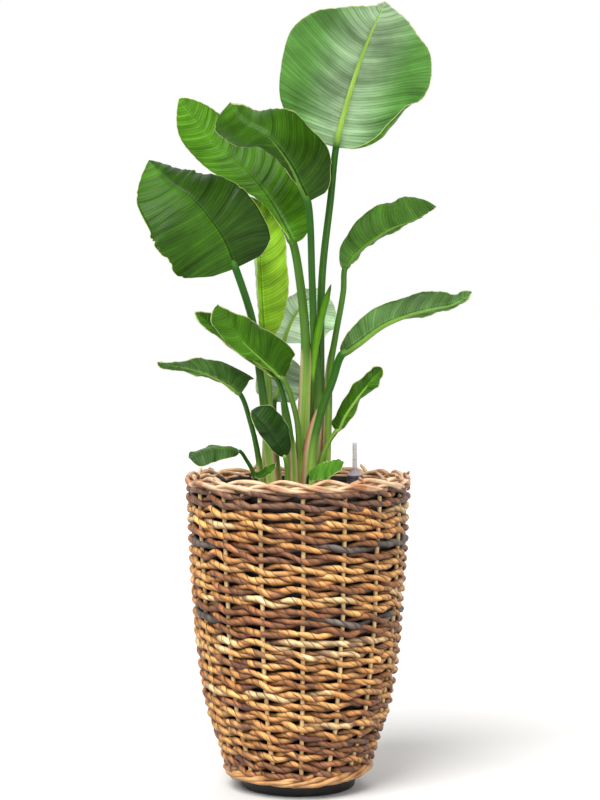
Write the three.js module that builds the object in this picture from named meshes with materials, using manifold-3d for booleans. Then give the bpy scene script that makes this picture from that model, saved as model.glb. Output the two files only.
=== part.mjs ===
// A tall bird of paradise plant that grows in mineral granules, in a black liner pot that stands inside a
// woven basket. A water-level gauge stands in the granules beside the stalks.
// Millimetres, +Z up, and the front of the object faces -Y. The origin is the centre of the liner pot's
// foot, on the surface that the pot stands on.

import * as THREE from "three";
import { ParametricGeometry } from "three/addons/geometries/ParametricGeometry.js";
import { mergeVertices } from "three/addons/utils/BufferGeometryUtils.js";
import Module from "manifold-3d";

// ---------------------------------------------------------------------------------------------------------
// Driving dimensions
// ---------------------------------------------------------------------------------------------------------

const GAP = 0.3; // clearance between two pieces that touch
const ROUND_SIDES = 32; // sides of the pot, the basket and the substrate

// The basket: [height, outer radius] up the wall, and its two borders.
const BASKET_OUTLINE = [
  [34, 140],
  [62, 148],
  [100, 161],
  [150, 178],
  [230, 192],
  [330, 202],
  [440, 209],
  [574, 215],
];
const BASKET_WALL = 24; // the stakes, with the strands that pass on both sides of them
const RIM_RADIUS = 204;
const RIM_HALF_WIDTH = 12;
const RIM_HALF_HEIGHT = 10;
const BASE_BORDER_RADIUS = 132;
const BASE_BORDER_HALF = 6;

// The liner pot follows the inside of the basket down to its own narrower foot.
const POT_WALL = 4;
const POT_FOOT_RADIUS = 96; // flat face that the pot stands on
const POT_FOOT_CORNER = 14; // rounding between the flat foot and the wall
const POT_TOP = 577;

const SUBSTRATE_TOP = 560;
const CROWN_CENTRE = [-16, -12]; // the root crown that the stalks grow from
const CROWN_HALF_WIDTH = 92;
const CROWN_HALF_DEPTH = 72;
const CROWN_DEPTH = 60;

// The water-level gauge.
const GAUGE_PLACE = [108, 30];
const GAUGE_FOOT = 108;
const TUBE_RADIUS = 15.4;
const TUBE_BORE = 12.4;
const TUBE_TOP = 588;
const HEAD_TOP = 599;
const HEAD_BORE = 3.2;
const SPIGOT_LENGTH = 10;
const SIGHT_RADIUS = 5;
const SIGHT_BORE = 3.8;
const SIGHT_TOP = 652;
const STOPPER_HEIGHT = 8;
const FLOAT_RADIUS = 11;
const FLOAT_LENGTH = 60;
const ROD_RADIUS = 1.2;
const POINTER_RADIUS = 2.6;
const POINTER_LENGTH = 6;
const INLET_WIDTH = 3;
const INLET_HEIGHT = 22;

// The leaves.
const LEAF_THICKNESS = 1.2;
const RIB_DEPTH = 0.6; // how far the midrib stands out below the blade, as a part of the stalk's radius
const ACROSS = [-1, -0.72, -0.38, -0.06, 0, 0.06, 0.38, 0.72, 1]; // places from margin to margin
const BLADE_STEPS = 12;
const LOBE_REACH = 0.35; // share of the midrib over which the margins reach back
const STALK_SIDES = 7;
const STALK_STEPS = 8;

// Each leaf is laid out along one line: its stalk from the root crown to the blade, then its midrib to the
// tip. "radius" is the stalk's, at its foot and at the blade. "face" is where the upper side of the blade
// looks, at its base, middle and tip. "half" is the half width on the left and on the right, seen on the
// upper side with the tip up. "fullest" is where along the midrib each half is widest, "heel" is the share
// of that width at the base, "swell" is how slowly it is reached and "tip" is how pointed the half ends.
// "lobe" is how far the margins reach back past the base, and "sweep" how far they run ahead further on.
// "left" and "right" give, at the base, middle and tip, the angle that the half rises from the face at the
// midrib, how much further it bends on the way to the margin, and how much its outer part rolls.
const LEAVES = [
  {
    name: "leaf_01", // the tallest: it leans to the front and shows its underside
    stalk: [[42, 24, 560], [43, 26, 700], [45, 30, 962], [62, 34, 1120]],
    rib: [[72, 36, 1215], [86, 10, 1273], [109, -50, 1350], [131, -115, 1405], [156, -175, 1456]],
    radius: [9, 6.5],
    face: [[0.1, 0.95, 0.3], [0.1, 0.8, 0.6], [0.1, 0.6, 0.8]],
    half: [141, 142],
    fullest: [0.3, 0.34],
    heel: 0.06,
    tip: [1.1, 1.4],
    swell: [0.45, 0.45],
    lobe: [-0.14, 0.08],
    sweep: 0.7,
    left: [[-0.1, -0.2, -1.1], [0.1, 0.1, 0], [0, -0.3, 0]],
    right: [[0.1, 0.2, 0], [0.1, 0.1, 0], [0, -0.3, 0]],
  },
  {
    name: "leaf_02", // upper left, behind leaf_03
    stalk: [[2, -6, 560], [12, -4, 740], [14, 4, 840], [3, 18, 961]],
    rib: [
      [-10, 30, 1032], [-25, 45, 1066], [-58, 75, 1123], [-98, 100, 1173], [-171, 125, 1243],
      [-233, 130, 1318],
    ],
    radius: [12, 8],
    face: [[0.3, -0.8, 0.4], [0.1, -0.8, 0.6], [-0.2, -0.7, 0.6]],
    half: [52, 67],
    fullest: [0.75, 0.45],
    heel: 0.1,
    tip: [0.9, 0.62],
    swell: [3.2, 0.5],
    lobe: [0.04, 0.04],
    sweep: 0.4,
    left: [[-0.2, -0.6, 0], [-0.4, -0.5, 0], [-0.3, -0.4, 0]],
    right: [[0.3, -0.2, 0], [0.3, -0.2, 0], [0, -0.2, 0]],
  },
  {
    name: "leaf_03", // in front of leaf_02
    stalk: [[24, 6, 560], [37, 4, 734], [30, 0, 851], [26, -8, 961]],
    rib: [
      [18, -30, 1108], [4, -45, 1143], [-15, -58, 1179], [-58, -64, 1231], [-103, -36, 1260],
      [-128, 0, 1296],
    ],
    radius: [9, 6.5],
    face: [[0.3, -0.9, 0.3], [0.1, -0.8, 0.6], [-0.3, -0.8, 0.5]],
    half: [62, 88],
    fullest: [0.84, 0.25],
    heel: 0.1,
    tip: [0.35, 1.35],
    swell: [2.2, 0.4],
    lobe: [0.05, -0.04],
    sweep: 0.42,
    left: [[-0.8, -1, 0], [-0.7, -0.8, 0], [-0.2, -0.3, 0]],
    right: [[0.1, 0.1, 0], [0.1, -0.6, 0], [-0.1, -0.9, 0]],
  },
  {
    name: "leaf_04", // big round leaf on the left
    stalk: [[-50, -24, 560], [-64, -32, 724], [-73, -38, 792], [-84, -54, 877]],
    rib: [
      [-116, -92, 981], [-137, -115, 1034], [-164, -128, 1073], [-196, -129, 1109],
      [-238, -110, 1138], [-276, -80, 1180],
    ],
    radius: [9, 7],
    face: [[0.1, -0.95, 0.3], [0, -0.85, 0.5], [-0.3, -0.7, 0.7]],
    half: [118, 89],
    fullest: [0.3, 0.28],
    heel: 0.1,
    tip: [0.85, 0.65],
    swell: [0.4, 0.25],
    lobe: [0.1, 0.1],
    sweep: 0.4,
    left: [[0.1, 0.1, 0], [0, -0.2, 0], [0, -0.3, 0]],
    right: [[0.1, 0.2, 0], [0, -0.5, 0], [-0.2, -0.9, 0]],
  },
  {
    name: "leaf_05", // young, half unrolled, yellow-green
    stalk: [[-60, 24, 560], [-58, 56, 733], [-62, 72, 800]],
    rib: [[-65, 84, 850], [-70, 98, 920], [-74, 114, 1000], [-80, 128, 1070], [-94, 140, 1128]],
    radius: [11, 7],
    face: [[0.2, -1, 0], [0.2, -1, 0], [0.2, -1, 0.1]],
    half: [50, 65],
    fullest: [0.5, 0.38],
    heel: 0.2,
    tip: [0.6, 0.9],
    swell: [0.5, 0.5],
    lobe: [0.02, 0.02],
    sweep: 0.4,
    left: [[0.8, 0.6, 0], [0.8, 0.8, 0.4], [0.6, 0.4, 0]],
    right: [[0.5, 0.6, 0], [0.3, 0.8, 0.2], [0.6, 0.4, 0]],
  },
  {
    name: "leaf_06", // upper right, arching out
    stalk: [[52, -6, 560], [57, 8, 700], [60, 17, 790], [70, 26, 851], [86, 39, 940]],
    rib: [
      [89, 45, 984], [102, 55, 1007], [122, 70, 1027], [143, 82, 1043], [178, 98, 1065],
      [224, 115, 1083], [270, 135, 1108],
    ],
    radius: [8, 5.5],
    face: [[-0.5, -0.7, 0.3], [-0.4, -0.7, 0.6], [0.1, -0.7, 0.7]],
    half: [64, 15],
    fullest: [0.78, 0.4],
    heel: 0.1,
    tip: [0.5, 0.7],
    swell: [0.8, 0.5],
    lobe: [0, 0.04],
    sweep: 0.4,
    left: [[0.2, 0.2, 0], [0.2, 0, 0], [0, -0.2, 0]],
    right: [[-1.2, -0.6, 0], [-1.5, -0.5, 0], [-1.3, -0.4, 0]],
  },
  {
    name: "leaf_07", // middle right, arching out to the front
    stalk: [[22, -46, 560], [26, -47, 640], [42, -52, 711], [64, -62, 773]],
    rib: [
      [81, -72, 821], [114, -94, 848], [154, -112, 877], [200, -130, 896], [245, -146, 907],
      [282, -154, 915], [315, -160, 936],
    ],
    radius: [10, 7.5],
    face: [[-0.5, -0.7, 0.5], [-0.3, -0.8, 0.6], [0, -0.7, 0.7]],
    half: [43, 17],
    fullest: [0.4, 0.4],
    heel: 0.1,
    tip: [0.8, 0.6],
    swell: [0.5, 0.5],
    lobe: [0.05, 0.05],
    sweep: 0.4,
    left: [[0.1, 0.1, 0], [0, -0.1, 0], [0, -0.3, 0]],
    right: [[-1.1, -0.6, 0], [-1.1, -0.5, 0], [-0.8, -0.3, 0]],
  },
  {
    name: "leaf_08", // lower right
    stalk: [[34, -27, 560], [40, -31, 610], [50, -36, 641], [60, -39, 661]],
    rib: [[71, -42, 677], [84, -48, 705], [110, -60, 743], [133, -68, 771], [156, -72, 796]],
    radius: [7, 4.5],
    face: [[-0.6, -0.6, 0.4], [-0.4, -0.8, 0.4], [-0.2, -0.8, 0.4]],
    half: [22, 20],
    fullest: [0.25, 0.55],
    heel: 0.1,
    tip: [0.4, 0.6],
    swell: [0.3, 0.5],
    lobe: [0.05, 0.05],
    sweep: 0.4,
    left: [[0, 0, 0], [0, 0, 0], [0, 0, 0]],
    right: [[-0.9, -0.8, 0], [-1.2, -0.6, 0], [-0.4, 0, 0]],
  },
  {
    name: "leaf_09", // left of the middle, arching to the front
    stalk: [[3, -33, 560], [2, -42, 640], [-4, -58, 706]],
    rib: [[-28, -82, 776], [-62, -106, 812], [-104, -132, 852], [-146, -160, 913]],
    radius: [7.5, 5],
    face: [[0.3, -0.6, 0.7], [0.3, -0.6, 0.7], [0.1, -0.8, 0.5]],
    half: [30, 68],
    fullest: [0.8, 0.24],
    heel: 0.1,
    tip: [0.55, 1.3],
    swell: [1.5, 0.5],
    lobe: [0.04, 0.16],
    sweep: 0.4,
    left: [[-0.7, -0.6, 0], [-0.9, -0.5, 0], [-0.4, -0.3, 0]],
    right: [[0.2, 0.2, 0], [0.1, 0, 0], [0, -0.2, 0]],
  },
  {
    name: "leaf_10", // behind leaf_09
    stalk: [[-8, -52, 560], [-12, -54, 650], [-22, -60, 716]],
    rib: [[-40, -74, 776], [-84, -94, 815], [-134, -108, 856], [-190, -116, 900]],
    radius: [7, 4.5],
    face: [[0.4, -0.6, 0.6], [0.25, -0.75, 0.6], [0.1, -0.8, 0.5]],
    half: [13, 62],
    fullest: [0.75, 0.3],
    heel: 0.1,
    tip: [0.6, 1],
    swell: [0.5, 0.5],
    lobe: [0.08, 0.08],
    sweep: 0.4,
    left: [[-0.6, -0.6, 0], [-0.8, -0.4, 0], [-0.4, -0.3, 0]],
    right: [[0, 0, 0], [0, 0, 0], [0, -0.2, 0]],
  },
  {
    name: "leaf_11", // left
    stalk: [[-68, -34, 560], [-76, -42, 634], [-90, -52, 696]],
    rib: [[-108, -66, 747], [-134, -80, 770], [-188, -108, 794], [-258, -135, 808]],
    radius: [7, 4.5],
    face: [[0.6, -0.6, 0.4], [0.3, -0.7, 0.7], [0, -0.7, 0.7]],
    half: [12, 44],
    fullest: [0.85, 0.16],
    heel: 0.1,
    tip: [0.4, 1.5],
    swell: [0.5, 0.4],
    lobe: [0.04, 0.2],
    sweep: 0.4,
    left: [[-0.8, -0.4, 0], [-0.8, -0.3, 0], [-0.4, -0.2, 0]],
    right: [[0.2, 0.2, 0], [0, 0, 0], [-0.2, -0.2, 0]],
  },
  {
    name: "leaf_12", // small, low on the left
    stalk: [[-74, -52, 560], [-84, -58, 600], [-97, -68, 625]],
    rib: [[-109, -84, 642], [-135, -100, 648], [-168, -120, 645], [-198, -132, 630]],
    radius: [5, 3.5],
    face: [[0.3, -0.7, 0.6], [0.1, -0.7, 0.7], [-0.2, -0.7, 0.7]],
    half: [27, 29],
    fullest: [0.75, 0.8],
    heel: 0.1,
    tip: [0.5, 0.5],
    swell: [0.5, 0.5],
    lobe: [0.02, 0.18],
    sweep: 0.4,
    left: [[0, -0.3, 0], [-0.2, -0.3, 0], [-0.2, -0.3, 0]],
    right: [[-0.3, -0.6, 0], [-0.4, -0.5, 0], [-0.4, -0.2, 0]],
  },
  {
    name: "leaf_13", // low in the middle, dark
    stalk: [[-22, -72, 560], [-21, -84, 598]],
    rib: [[-25, -100, 632], [-40, -110, 660], [-61, -115, 692], [-87, -108, 718]],
    radius: [5.5, 4],
    face: [[0.1, -0.9, 0.4], [0.1, -0.9, 0.4], [0, -0.9, 0.5]],
    half: [19, 41],
    fullest: [0.5, 0.55],
    heel: 0.1,
    tip: [0.75, 0.5],
    swell: [0.6, 0.6],
    lobe: [0.04, 0.04],
    sweep: 0.4,
    left: [[0, -0.2, 0], [-0.1, -0.2, 0], [0, 0, 0]],
    right: [[0, -0.2, 0], [-0.1, -0.4, 0], [0, 0, 0]],
  },
  {
    name: "leaf_14", // behind the stalks, its underside to the front
    stalk: [[-14, 40, 560], [-22, 100, 650], [-30, 136, 730], [-34, 136, 795]],
    rib: [[-30, 132, 842], [-18, 130, 878], [4, 122, 914], [38, 104, 948]],
    radius: [7, 4.5],
    face: [[-0.3, 0.9, 0.3], [-0.3, 0.8, 0.5], [-0.2, 0.6, 0.8]],
    half: [105, 34],
    fullest: [0.45, 0.45],
    heel: 0.1,
    tip: [0.6, 0.6],
    swell: [0.8, 0.5],
    lobe: [0.1, 0.1],
    sweep: 0.4,
    left: [[0.1, 0.2, 0], [0.1, 0.1, 0], [0, 0, 0]],
    right: [[0.1, 0.2, 0], [0.1, 0.1, 0], [0, 0, 0]],
  },
  {
    name: "leaf_15", // low behind the stalks
    stalk: [[-38, 46, 560], [-44, 70, 640], [-46, 86, 690]],
    rib: [[-46, 98, 728], [-38, 106, 758], [-26, 108, 786], [-8, 102, 808]],
    radius: [7, 4.5],
    face: [[0, 0.9, 0.3], [0, 0.9, 0.5], [0, 0.8, 0.6]],
    half: [50, 50],
    fullest: [0.45, 0.45],
    heel: 0.1,
    tip: [0.6, 0.6],
    swell: [0.5, 0.5],
    lobe: [0.1, 0.1],
    sweep: 0.4,
    left: [[0.1, 0.2, 0], [0.1, 0.1, 0], [0, 0, 0]],
    right: [[0.1, 0.2, 0], [0.1, 0.1, 0], [0, 0, 0]],
  },
  {
    name: "leaf_16", // small, over the front of the rim
    stalk: [[16, -72, 560], [16, -92, 574]],
    rib: [[20, -120, 600], [38, -143, 610], [58, -166, 617], [82, -186, 626]],
    radius: [4.5, 3],
    face: [[-0.3, -0.8, 0.5], [-0.2, -0.8, 0.5], [0, -0.7, 0.6]],
    half: [15, 26],
    fullest: [0.5, 0.5],
    heel: 0.1,
    tip: [0.5, 0.5],
    swell: [0.5, 0.5],
    lobe: [0.02, 0.02],
    sweep: 0.4,
    left: [[0.1, 0.1, 0], [0.1, 0, 0], [0, 0, 0]],
    right: [[0.1, 0.1, 0], [0.1, 0, 0], [0, 0, 0]],
  },
  {
    name: "leaf_17", // small, dark, low on the left
    stalk: [[-60, -64, 560], [-74, -74, 580]],
    rib: [[-80, -84, 595], [-64, -94, 603], [-41, -102, 620]],
    radius: [3.5, 2.5],
    face: [[0, -0.7, 0.7], [0, -0.7, 0.7], [0, -0.7, 0.7]],
    half: [8, 14],
    fullest: [0.5, 0.5],
    heel: 0.1,
    tip: [0.75, 0.75],
    swell: [0.5, 0.5],
    lobe: [0, 0],
    sweep: 0.4,
    left: [[0.1, 0.1, 0], [0.1, 0, 0], [0, 0, 0]],
    right: [[0.1, 0.1, 0], [0.1, 0, 0], [0, 0, 0]],
  },
];

// The newest shoot: still rolled up, so it is one slender solid from the root crown to its point.
const SPEAR = [[20, -22, 560], [26, -20, 696], [28, -18, 785], [37, -14, 861], [54, -10, 927], [62, -8, 953]];
const SPEAR_RADIUS = 6.5;

// ---------------------------------------------------------------------------------------------------------
// Helpers
// ---------------------------------------------------------------------------------------------------------

const wasm = await Module();
wasm.setup();

function finish(color, roughness = 0.6, metalness = 0) {
  return new THREE.MeshStandardMaterial({ color, roughness, metalness });
}

const FINISHES = {
  blade: finish(0x3f7a1e, 0.35),
  young: finish(0x9cc542, 0.45),
  stalk: finish(0x4b8638, 0.4),
  crown: finish(0x8a7a4c, 0.8),
  weave: finish(0xb98a56, 0.85),
  rod: finish(0xd9b08c, 0.6),
  black_plastic: finish(0x1a1a1c, 0.45),
  granules: finish(0x9b9a92, 0.95),
  grey_plastic: finish(0xb9bcc0, 0.4),
  clear_plastic: finish(0xdfe3e6, 0.1),
  foam: finish(0xf2f2ee, 0.8),
  red_plastic: finish(0xc8281e, 0.5),
};

const part = new THREE.Group();

function add(name, geometry, material, x = 0, y = 0, z = 0) {
  const mesh = new THREE.Mesh(geometry, material);
  mesh.name = name;
  mesh.position.set(x, y, z);
  part.add(mesh);
  return mesh;
}

// A solid of revolution about Z from a profile of [radius, height] points, listed up the outside.
function turned(profile, sides = ROUND_SIDES) {
  const points = profile.map(([radius, height]) => new THREE.Vector2(radius, height));
  return new THREE.LatheGeometry(points, sides).rotateX(Math.PI / 2);
}

function toSolid(geometry) {
  const bare = geometry.clone();
  bare.deleteAttribute("normal");
  bare.deleteAttribute("uv");
  const merged = mergeVertices(bare, 1e-4);
  return new wasm.Manifold(
    new wasm.Mesh({
      numProp: 3,
      vertProperties: new Float32Array(merged.attributes.position.array),
      triVerts: new Uint32Array(merged.index.array),
    }),
  );
}

function toGeometry(solid) {
  const mesh = solid.getMesh();
  const geometry = new THREE.BufferGeometry();
  geometry.setAttribute("position", new THREE.BufferAttribute(mesh.vertProperties, mesh.numProp));
  geometry.setIndex(new THREE.BufferAttribute(mesh.triVerts, 1));
  geometry.computeVertexNormals();
  return geometry;
}

// ---------------------------------------------------------------------------------------------------------
// Basket and pot
// ---------------------------------------------------------------------------------------------------------

const [[WALL_FOOT], [WALL_TOP]] = [BASKET_OUTLINE[0], BASKET_OUTLINE[BASKET_OUTLINE.length - 1]];

function addBasket() {
  const inside = BASKET_OUTLINE.map(([height, radius]) => [radius - BASKET_WALL, height]);
  const outside = BASKET_OUTLINE.map(([height, radius]) => [radius, height]);
  add("basket_wall", turned([...outside, ...inside.reverse(), outside[0]]), FINISHES.weave);
  const rimHeight = WALL_TOP + GAP + RIM_HALF_HEIGHT;
  add("basket_rim", ring(RIM_RADIUS, rimHeight, RIM_HALF_WIDTH, RIM_HALF_HEIGHT), FINISHES.rod);
  const footHeight = WALL_FOOT - GAP - BASE_BORDER_HALF;
  const half = BASE_BORDER_HALF;
  add("basket_base_border", ring(BASE_BORDER_RADIUS, footHeight, half, half), FINISHES.rod);
}

// A ring of elliptical section.
function ring(radius, height, halfWidth, halfHeight) {
  const sides = 8;
  const profile = [];
  for (let i = 0; i <= sides; i++) {
    const turn = ((i % sides) * 2 * Math.PI) / sides;
    profile.push([radius + halfWidth * Math.cos(turn), height + halfHeight * Math.sin(turn)]);
  }
  return turned(profile);
}

// The pot's outer outline above its rounded foot: a close fit inside the basket.
function potOutline() {
  const rounded = [];
  const steps = 4;
  for (let i = 0; i <= steps; i++) {
    const turn = (i / steps) * (Math.PI / 2);
    rounded.push([
      POT_FOOT_RADIUS + POT_FOOT_CORNER * Math.sin(turn),
      POT_FOOT_CORNER * (1 - Math.cos(turn)),
    ]);
  }
  const wall = BASKET_OUTLINE.map(([height, radius]) => [radius - BASKET_WALL - GAP, height]);
  wall[wall.length - 1][1] = POT_TOP;
  return [...rounded, ...wall];
}

function addPot() {
  const outside = potOutline();
  const inside = outside
    .map(([radius, height]) => [radius - POT_WALL, Math.max(height, POT_WALL)])
    .reverse();
  const profile = [[0, 0], ...outside, ...inside, [0, POT_WALL]];
  add("liner_pot", turned(profile), FINISHES.black_plastic);
}

function crownGeometry(grow) {
  const halfWidth = CROWN_HALF_WIDTH + grow;
  const halfDepth = CROWN_HALF_DEPTH + grow;
  const bottom = SUBSTRATE_TOP - CROWN_DEPTH - grow;
  const profile = [[0, bottom], [0.6, bottom], [0.9, bottom + 18], [1, SUBSTRATE_TOP - 12]];
  profile.push([1, SUBSTRATE_TOP + grow], [0, SUBSTRATE_TOP + grow]);
  return turned(profile, 24).scale(halfWidth, halfDepth, 1).translate(...CROWN_CENTRE, 0);
}

function addSubstrate() {
  const outside = potOutline()
    .map(([radius, height]) => [radius - POT_WALL - GAP, Math.max(height, POT_WALL) + GAP])
    .filter(([, height]) => height < SUBSTRATE_TOP);
  const widest = outside[outside.length - 1][0];
  const profile = [[0, POT_WALL + GAP], ...outside, [widest, SUBSTRATE_TOP], [0, SUBSTRATE_TOP]];
  const reach = SUBSTRATE_TOP - GAUGE_FOOT + GAP + 10;
  const socket = new THREE.CylinderGeometry(TUBE_RADIUS + GAP, TUBE_RADIUS + GAP, reach, 24);
  socket.rotateX(Math.PI / 2).translate(...GAUGE_PLACE, GAUGE_FOOT - GAP + reach / 2);
  const filling = toSolid(turned(profile)).subtract(toSolid(socket)).subtract(toSolid(crownGeometry(GAP)));
  add("substrate", toGeometry(filling), FINISHES.granules);
  add("root_crown", crownGeometry(0), FINISHES.crown);
}

// ---------------------------------------------------------------------------------------------------------
// Water-level gauge
// ---------------------------------------------------------------------------------------------------------

function addGauge() {
  const [x, y] = GAUGE_PLACE;
  const tubeWall = [
    [TUBE_BORE, GAUGE_FOOT],
    [TUBE_RADIUS, GAUGE_FOOT],
    [TUBE_RADIUS, TUBE_TOP],
    [TUBE_BORE, TUBE_TOP],
    [TUBE_BORE, GAUGE_FOOT],
  ];
  let tube = toSolid(turned(tubeWall, 20));
  for (const angle of [0, Math.PI / 2]) {
    const inlet = new THREE.BoxGeometry(3 * TUBE_RADIUS, INLET_WIDTH, INLET_HEIGHT);
    inlet.rotateZ(angle).translate(0, 0, GAUGE_FOOT + STOPPER_HEIGHT + INLET_HEIGHT);
    tube = tube.subtract(toSolid(inlet));
  }
  add("gauge_tube", toGeometry(tube), FINISHES.black_plastic, x, y);

  const plug = TUBE_BORE - GAP;
  const stopper = [[0, 0], [plug, 0], [plug, STOPPER_HEIGHT], [0, STOPPER_HEIGHT]];
  add("gauge_stopper", turned(stopper, 20), FINISHES.black_plastic, x, y, GAUGE_FOOT);

  const seat = TUBE_TOP + GAP;
  const headWall = [
    [HEAD_BORE, TUBE_TOP - SPIGOT_LENGTH],
    [plug, TUBE_TOP - SPIGOT_LENGTH],
    [plug, seat],
    [TUBE_RADIUS, seat],
    [TUBE_RADIUS - 1, seat + 3],
    [SIGHT_RADIUS + 1, HEAD_TOP],
    [HEAD_BORE, HEAD_TOP],
    [HEAD_BORE, TUBE_TOP - SPIGOT_LENGTH],
  ];
  add("gauge_head", turned(headWall, 20), FINISHES.grey_plastic, x, y);

  const sightWall = [
    [SIGHT_BORE, HEAD_TOP + GAP],
    [SIGHT_RADIUS, HEAD_TOP + GAP],
    [SIGHT_RADIUS, SIGHT_TOP],
    [0, SIGHT_TOP],
    [0, SIGHT_TOP - 2],
    [SIGHT_BORE, SIGHT_TOP - 2],
    [SIGHT_BORE, HEAD_TOP + GAP],
  ];
  add("gauge_sight_tube", turned(sightWall, 16), FINISHES.clear_plastic, x, y);

  const floatFoot = GAUGE_FOOT + STOPPER_HEIGHT + GAP;
  const floatTop = floatFoot + FLOAT_LENGTH;
  const pointerFoot = HEAD_TOP - 1;
  const float = [
    [0, floatFoot],
    [FLOAT_RADIUS, floatFoot],
    [FLOAT_RADIUS, floatTop],
    [ROD_RADIUS, floatTop],
    [ROD_RADIUS, pointerFoot - GAP],
    [0, pointerFoot - GAP],
  ];
  add("gauge_float", turned(float, 16), FINISHES.foam, x, y);
  const pointer = [
    [0, 0],
    [POINTER_RADIUS, 0],
    [POINTER_RADIUS, POINTER_LENGTH - 2],
    [0, POINTER_LENGTH],
  ];
  add("gauge_pointer", turned(pointer, 12), FINISHES.red_plastic, x, y, pointerFoot);
}

// ---------------------------------------------------------------------------------------------------------
// Leaves
// ---------------------------------------------------------------------------------------------------------

const mix = (a, b, t) => a + (b - a) * t;

// The value at t of a quantity given at the base, middle and tip.
function along3(values, t) {
  return t < 0.5 ? mix(values[0], values[1], 2 * t) : mix(values[1], values[2], 2 * t - 1);
}

// The share of a half's full width at a place along the blade, from the heel to the pointed tip.
function outline(leaf, half, t) {
  const fullest = leaf.fullest[half];
  if (t < fullest) return mix(leaf.heel, 1, (1 - (1 - t / fullest) ** 2) ** leaf.swell[half]);
  return Math.max(0, Math.cos(((t - fullest) / (1 - fullest)) * (Math.PI / 2))) ** leaf.tip[half];
}

// The line of a leaf: station 0 is the blade's base, 1 the tip and -1 the foot of the stalk.
function leafLine(leaf) {
  const points = [...leaf.stalk, ...leaf.rib].map((point) => new THREE.Vector3(...point));
  const curve = new THREE.CatmullRomCurve3(points, false, "centripetal");
  const base = leaf.stalk.length / (points.length - 1);
  return {
    place: (station) => (station < 0 ? mix(base, 0, -station) : mix(base, 1, station)),
    curve,
  };
}

function frameAt(leaf, line, station) {
  const at = Math.min(Math.max(line.place(station), 0), 1);
  const origin = line.curve.getPoint(at);
  const forward = line.curve.getTangent(at);
  const t = Math.min(Math.max(station, 0), 1);
  const face = new THREE.Vector3(
    along3(leaf.face.map((v) => v[0]), t),
    along3(leaf.face.map((v) => v[1]), t),
    along3(leaf.face.map((v) => v[2]), t),
  );
  face.addScaledVector(forward, -face.dot(forward)).normalize();
  return { origin, forward, face, side: new THREE.Vector3().crossVectors(forward, face) };
}

// A point of the blade's middle surface and the way the upper side looks there. "across" runs from -1 at
// the left margin over 0 at the midrib to 1 at the right margin.
function bladePoint(leaf, line, along, across) {
  const share = Math.abs(across);
  const hand = across < 0 ? -1 : 1;
  const which = across < 0 ? 0 : 1;
  const sweep = leaf.sweep * along * (1 - along) * share ** 1.5;
  const nearBase = Math.sin(Math.PI * Math.min(1, along / LOBE_REACH)) ** 2;
  const back = leaf.lobe[which] * share ** 2 * nearBase;
  const { origin, face, side } = frameAt(leaf, line, along + sweep - back);
  const keys = across < 0 ? leaf.left : leaf.right;
  const [fold, bend, roll] = [0, 1, 2].map((k) => along3(keys.map((key) => key[k]), along));
  const half = leaf.half[which] * outline(leaf, which, along);
  const steps = 8;
  let out = 0;
  let up = 0;
  let angle = fold;
  for (let i = 0; i < steps; i++) {
    const t = ((i + 0.5) / steps) * share;
    angle = fold + bend * t + roll * Math.max(0, (t - 0.6) / 0.4);
    out += (Math.cos(angle) * share * half) / steps;
    up += (Math.sin(angle) * share * half) / steps;
  }
  const point = origin.addScaledVector(side, hand * out).addScaledVector(face, up);
  const normal = face.multiplyScalar(Math.cos(angle)).addScaledVector(side, -hand * Math.sin(angle));
  return { point, normal };
}

// The blade as one closed solid: over the upper side from margin to margin and back below it. It thins out
// to nothing at its edges, and the midrib stands out below.
function bladeGeometry(leaf) {
  const line = leafLine(leaf);
  const count = ACROSS.length - 1;
  const geometry = new ParametricGeometry(
    (u, v, target) => {
      const step = Math.round(u * 2 * count);
      const above = step < count;
      const across = ACROSS[above ? step : 2 * count - step];
      const { point, normal } = bladePoint(leaf, line, v, across);
      const taper = Math.min(1, 12 * v * (1 - v));
      const rib = across === 0 && !above ? RIB_DEPTH * leaf.radius[1] : 0;
      const thickness = LEAF_THICKNESS * Math.sqrt(1 - across ** 2) + rib;
      target.copy(point).addScaledVector(normal, (above ? 0.5 : -0.5) * thickness * taper);
    },
    2 * count,
    BLADE_STEPS,
  );
  const corners = geometry.index.array;
  for (let quad = 0; quad < 2 * count * BLADE_STEPS; quad++) {
    if (quad % (2 * count) < count) continue;
    const [a, b, d, , c] = corners.slice(6 * quad, 6 * quad + 6);
    corners.set([a, b, c, a, c, d], 6 * quad); // the same diagonal below as above
  }
  return geometry;
}

// A round stalk that thins from its sheathing foot to the blade, closed by a flat cap at each end.
function taperedRod(curve, from, to, footRadius, topRadius) {
  const rows = STALK_STEPS + 2;
  const geometry = new ParametricGeometry(
    (u, v, target) => {
      const row = Math.round(v * rows);
      const t = Math.min(Math.max(row - 1, 0), STALK_STEPS) / STALK_STEPS;
      const at = mix(from, to, t);
      const radius = row === 0 || row === rows ? 0 : mix(topRadius, footRadius, (1 - t) ** 2);
      const forward = t === 0 ? new THREE.Vector3(0, 0, 1) : curve.getTangent(at);
      const across = new THREE.Vector3(1, 0, 0).addScaledVector(forward, -forward.x).normalize();
      const other = new THREE.Vector3().crossVectors(forward, across);
      const turn = u * 2 * Math.PI;
      target.copy(curve.getPoint(at));
      target.addScaledVector(across, radius * Math.cos(turn));
      target.addScaledVector(other, radius * Math.sin(turn));
    },
    STALK_SIDES,
    rows,
  );
  return geometry;
}

function addLeaf(leaf) {
  const line = leafLine(leaf);
  const base = line.place(0);
  const gap = GAP / line.curve.getLength();
  add(leaf.name + "_blade", bladeGeometry(leaf), FINISHES.blade);
  const rod = taperedRod(line.curve, 0, base - 2 * gap, ...leaf.radius);
  add(leaf.name + "_stalk", rod.translate(0, 0, GAP), FINISHES.stalk);
}

addBasket();
addPot();
addSubstrate();
addGauge();
LEAVES.forEach(addLeaf);

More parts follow.
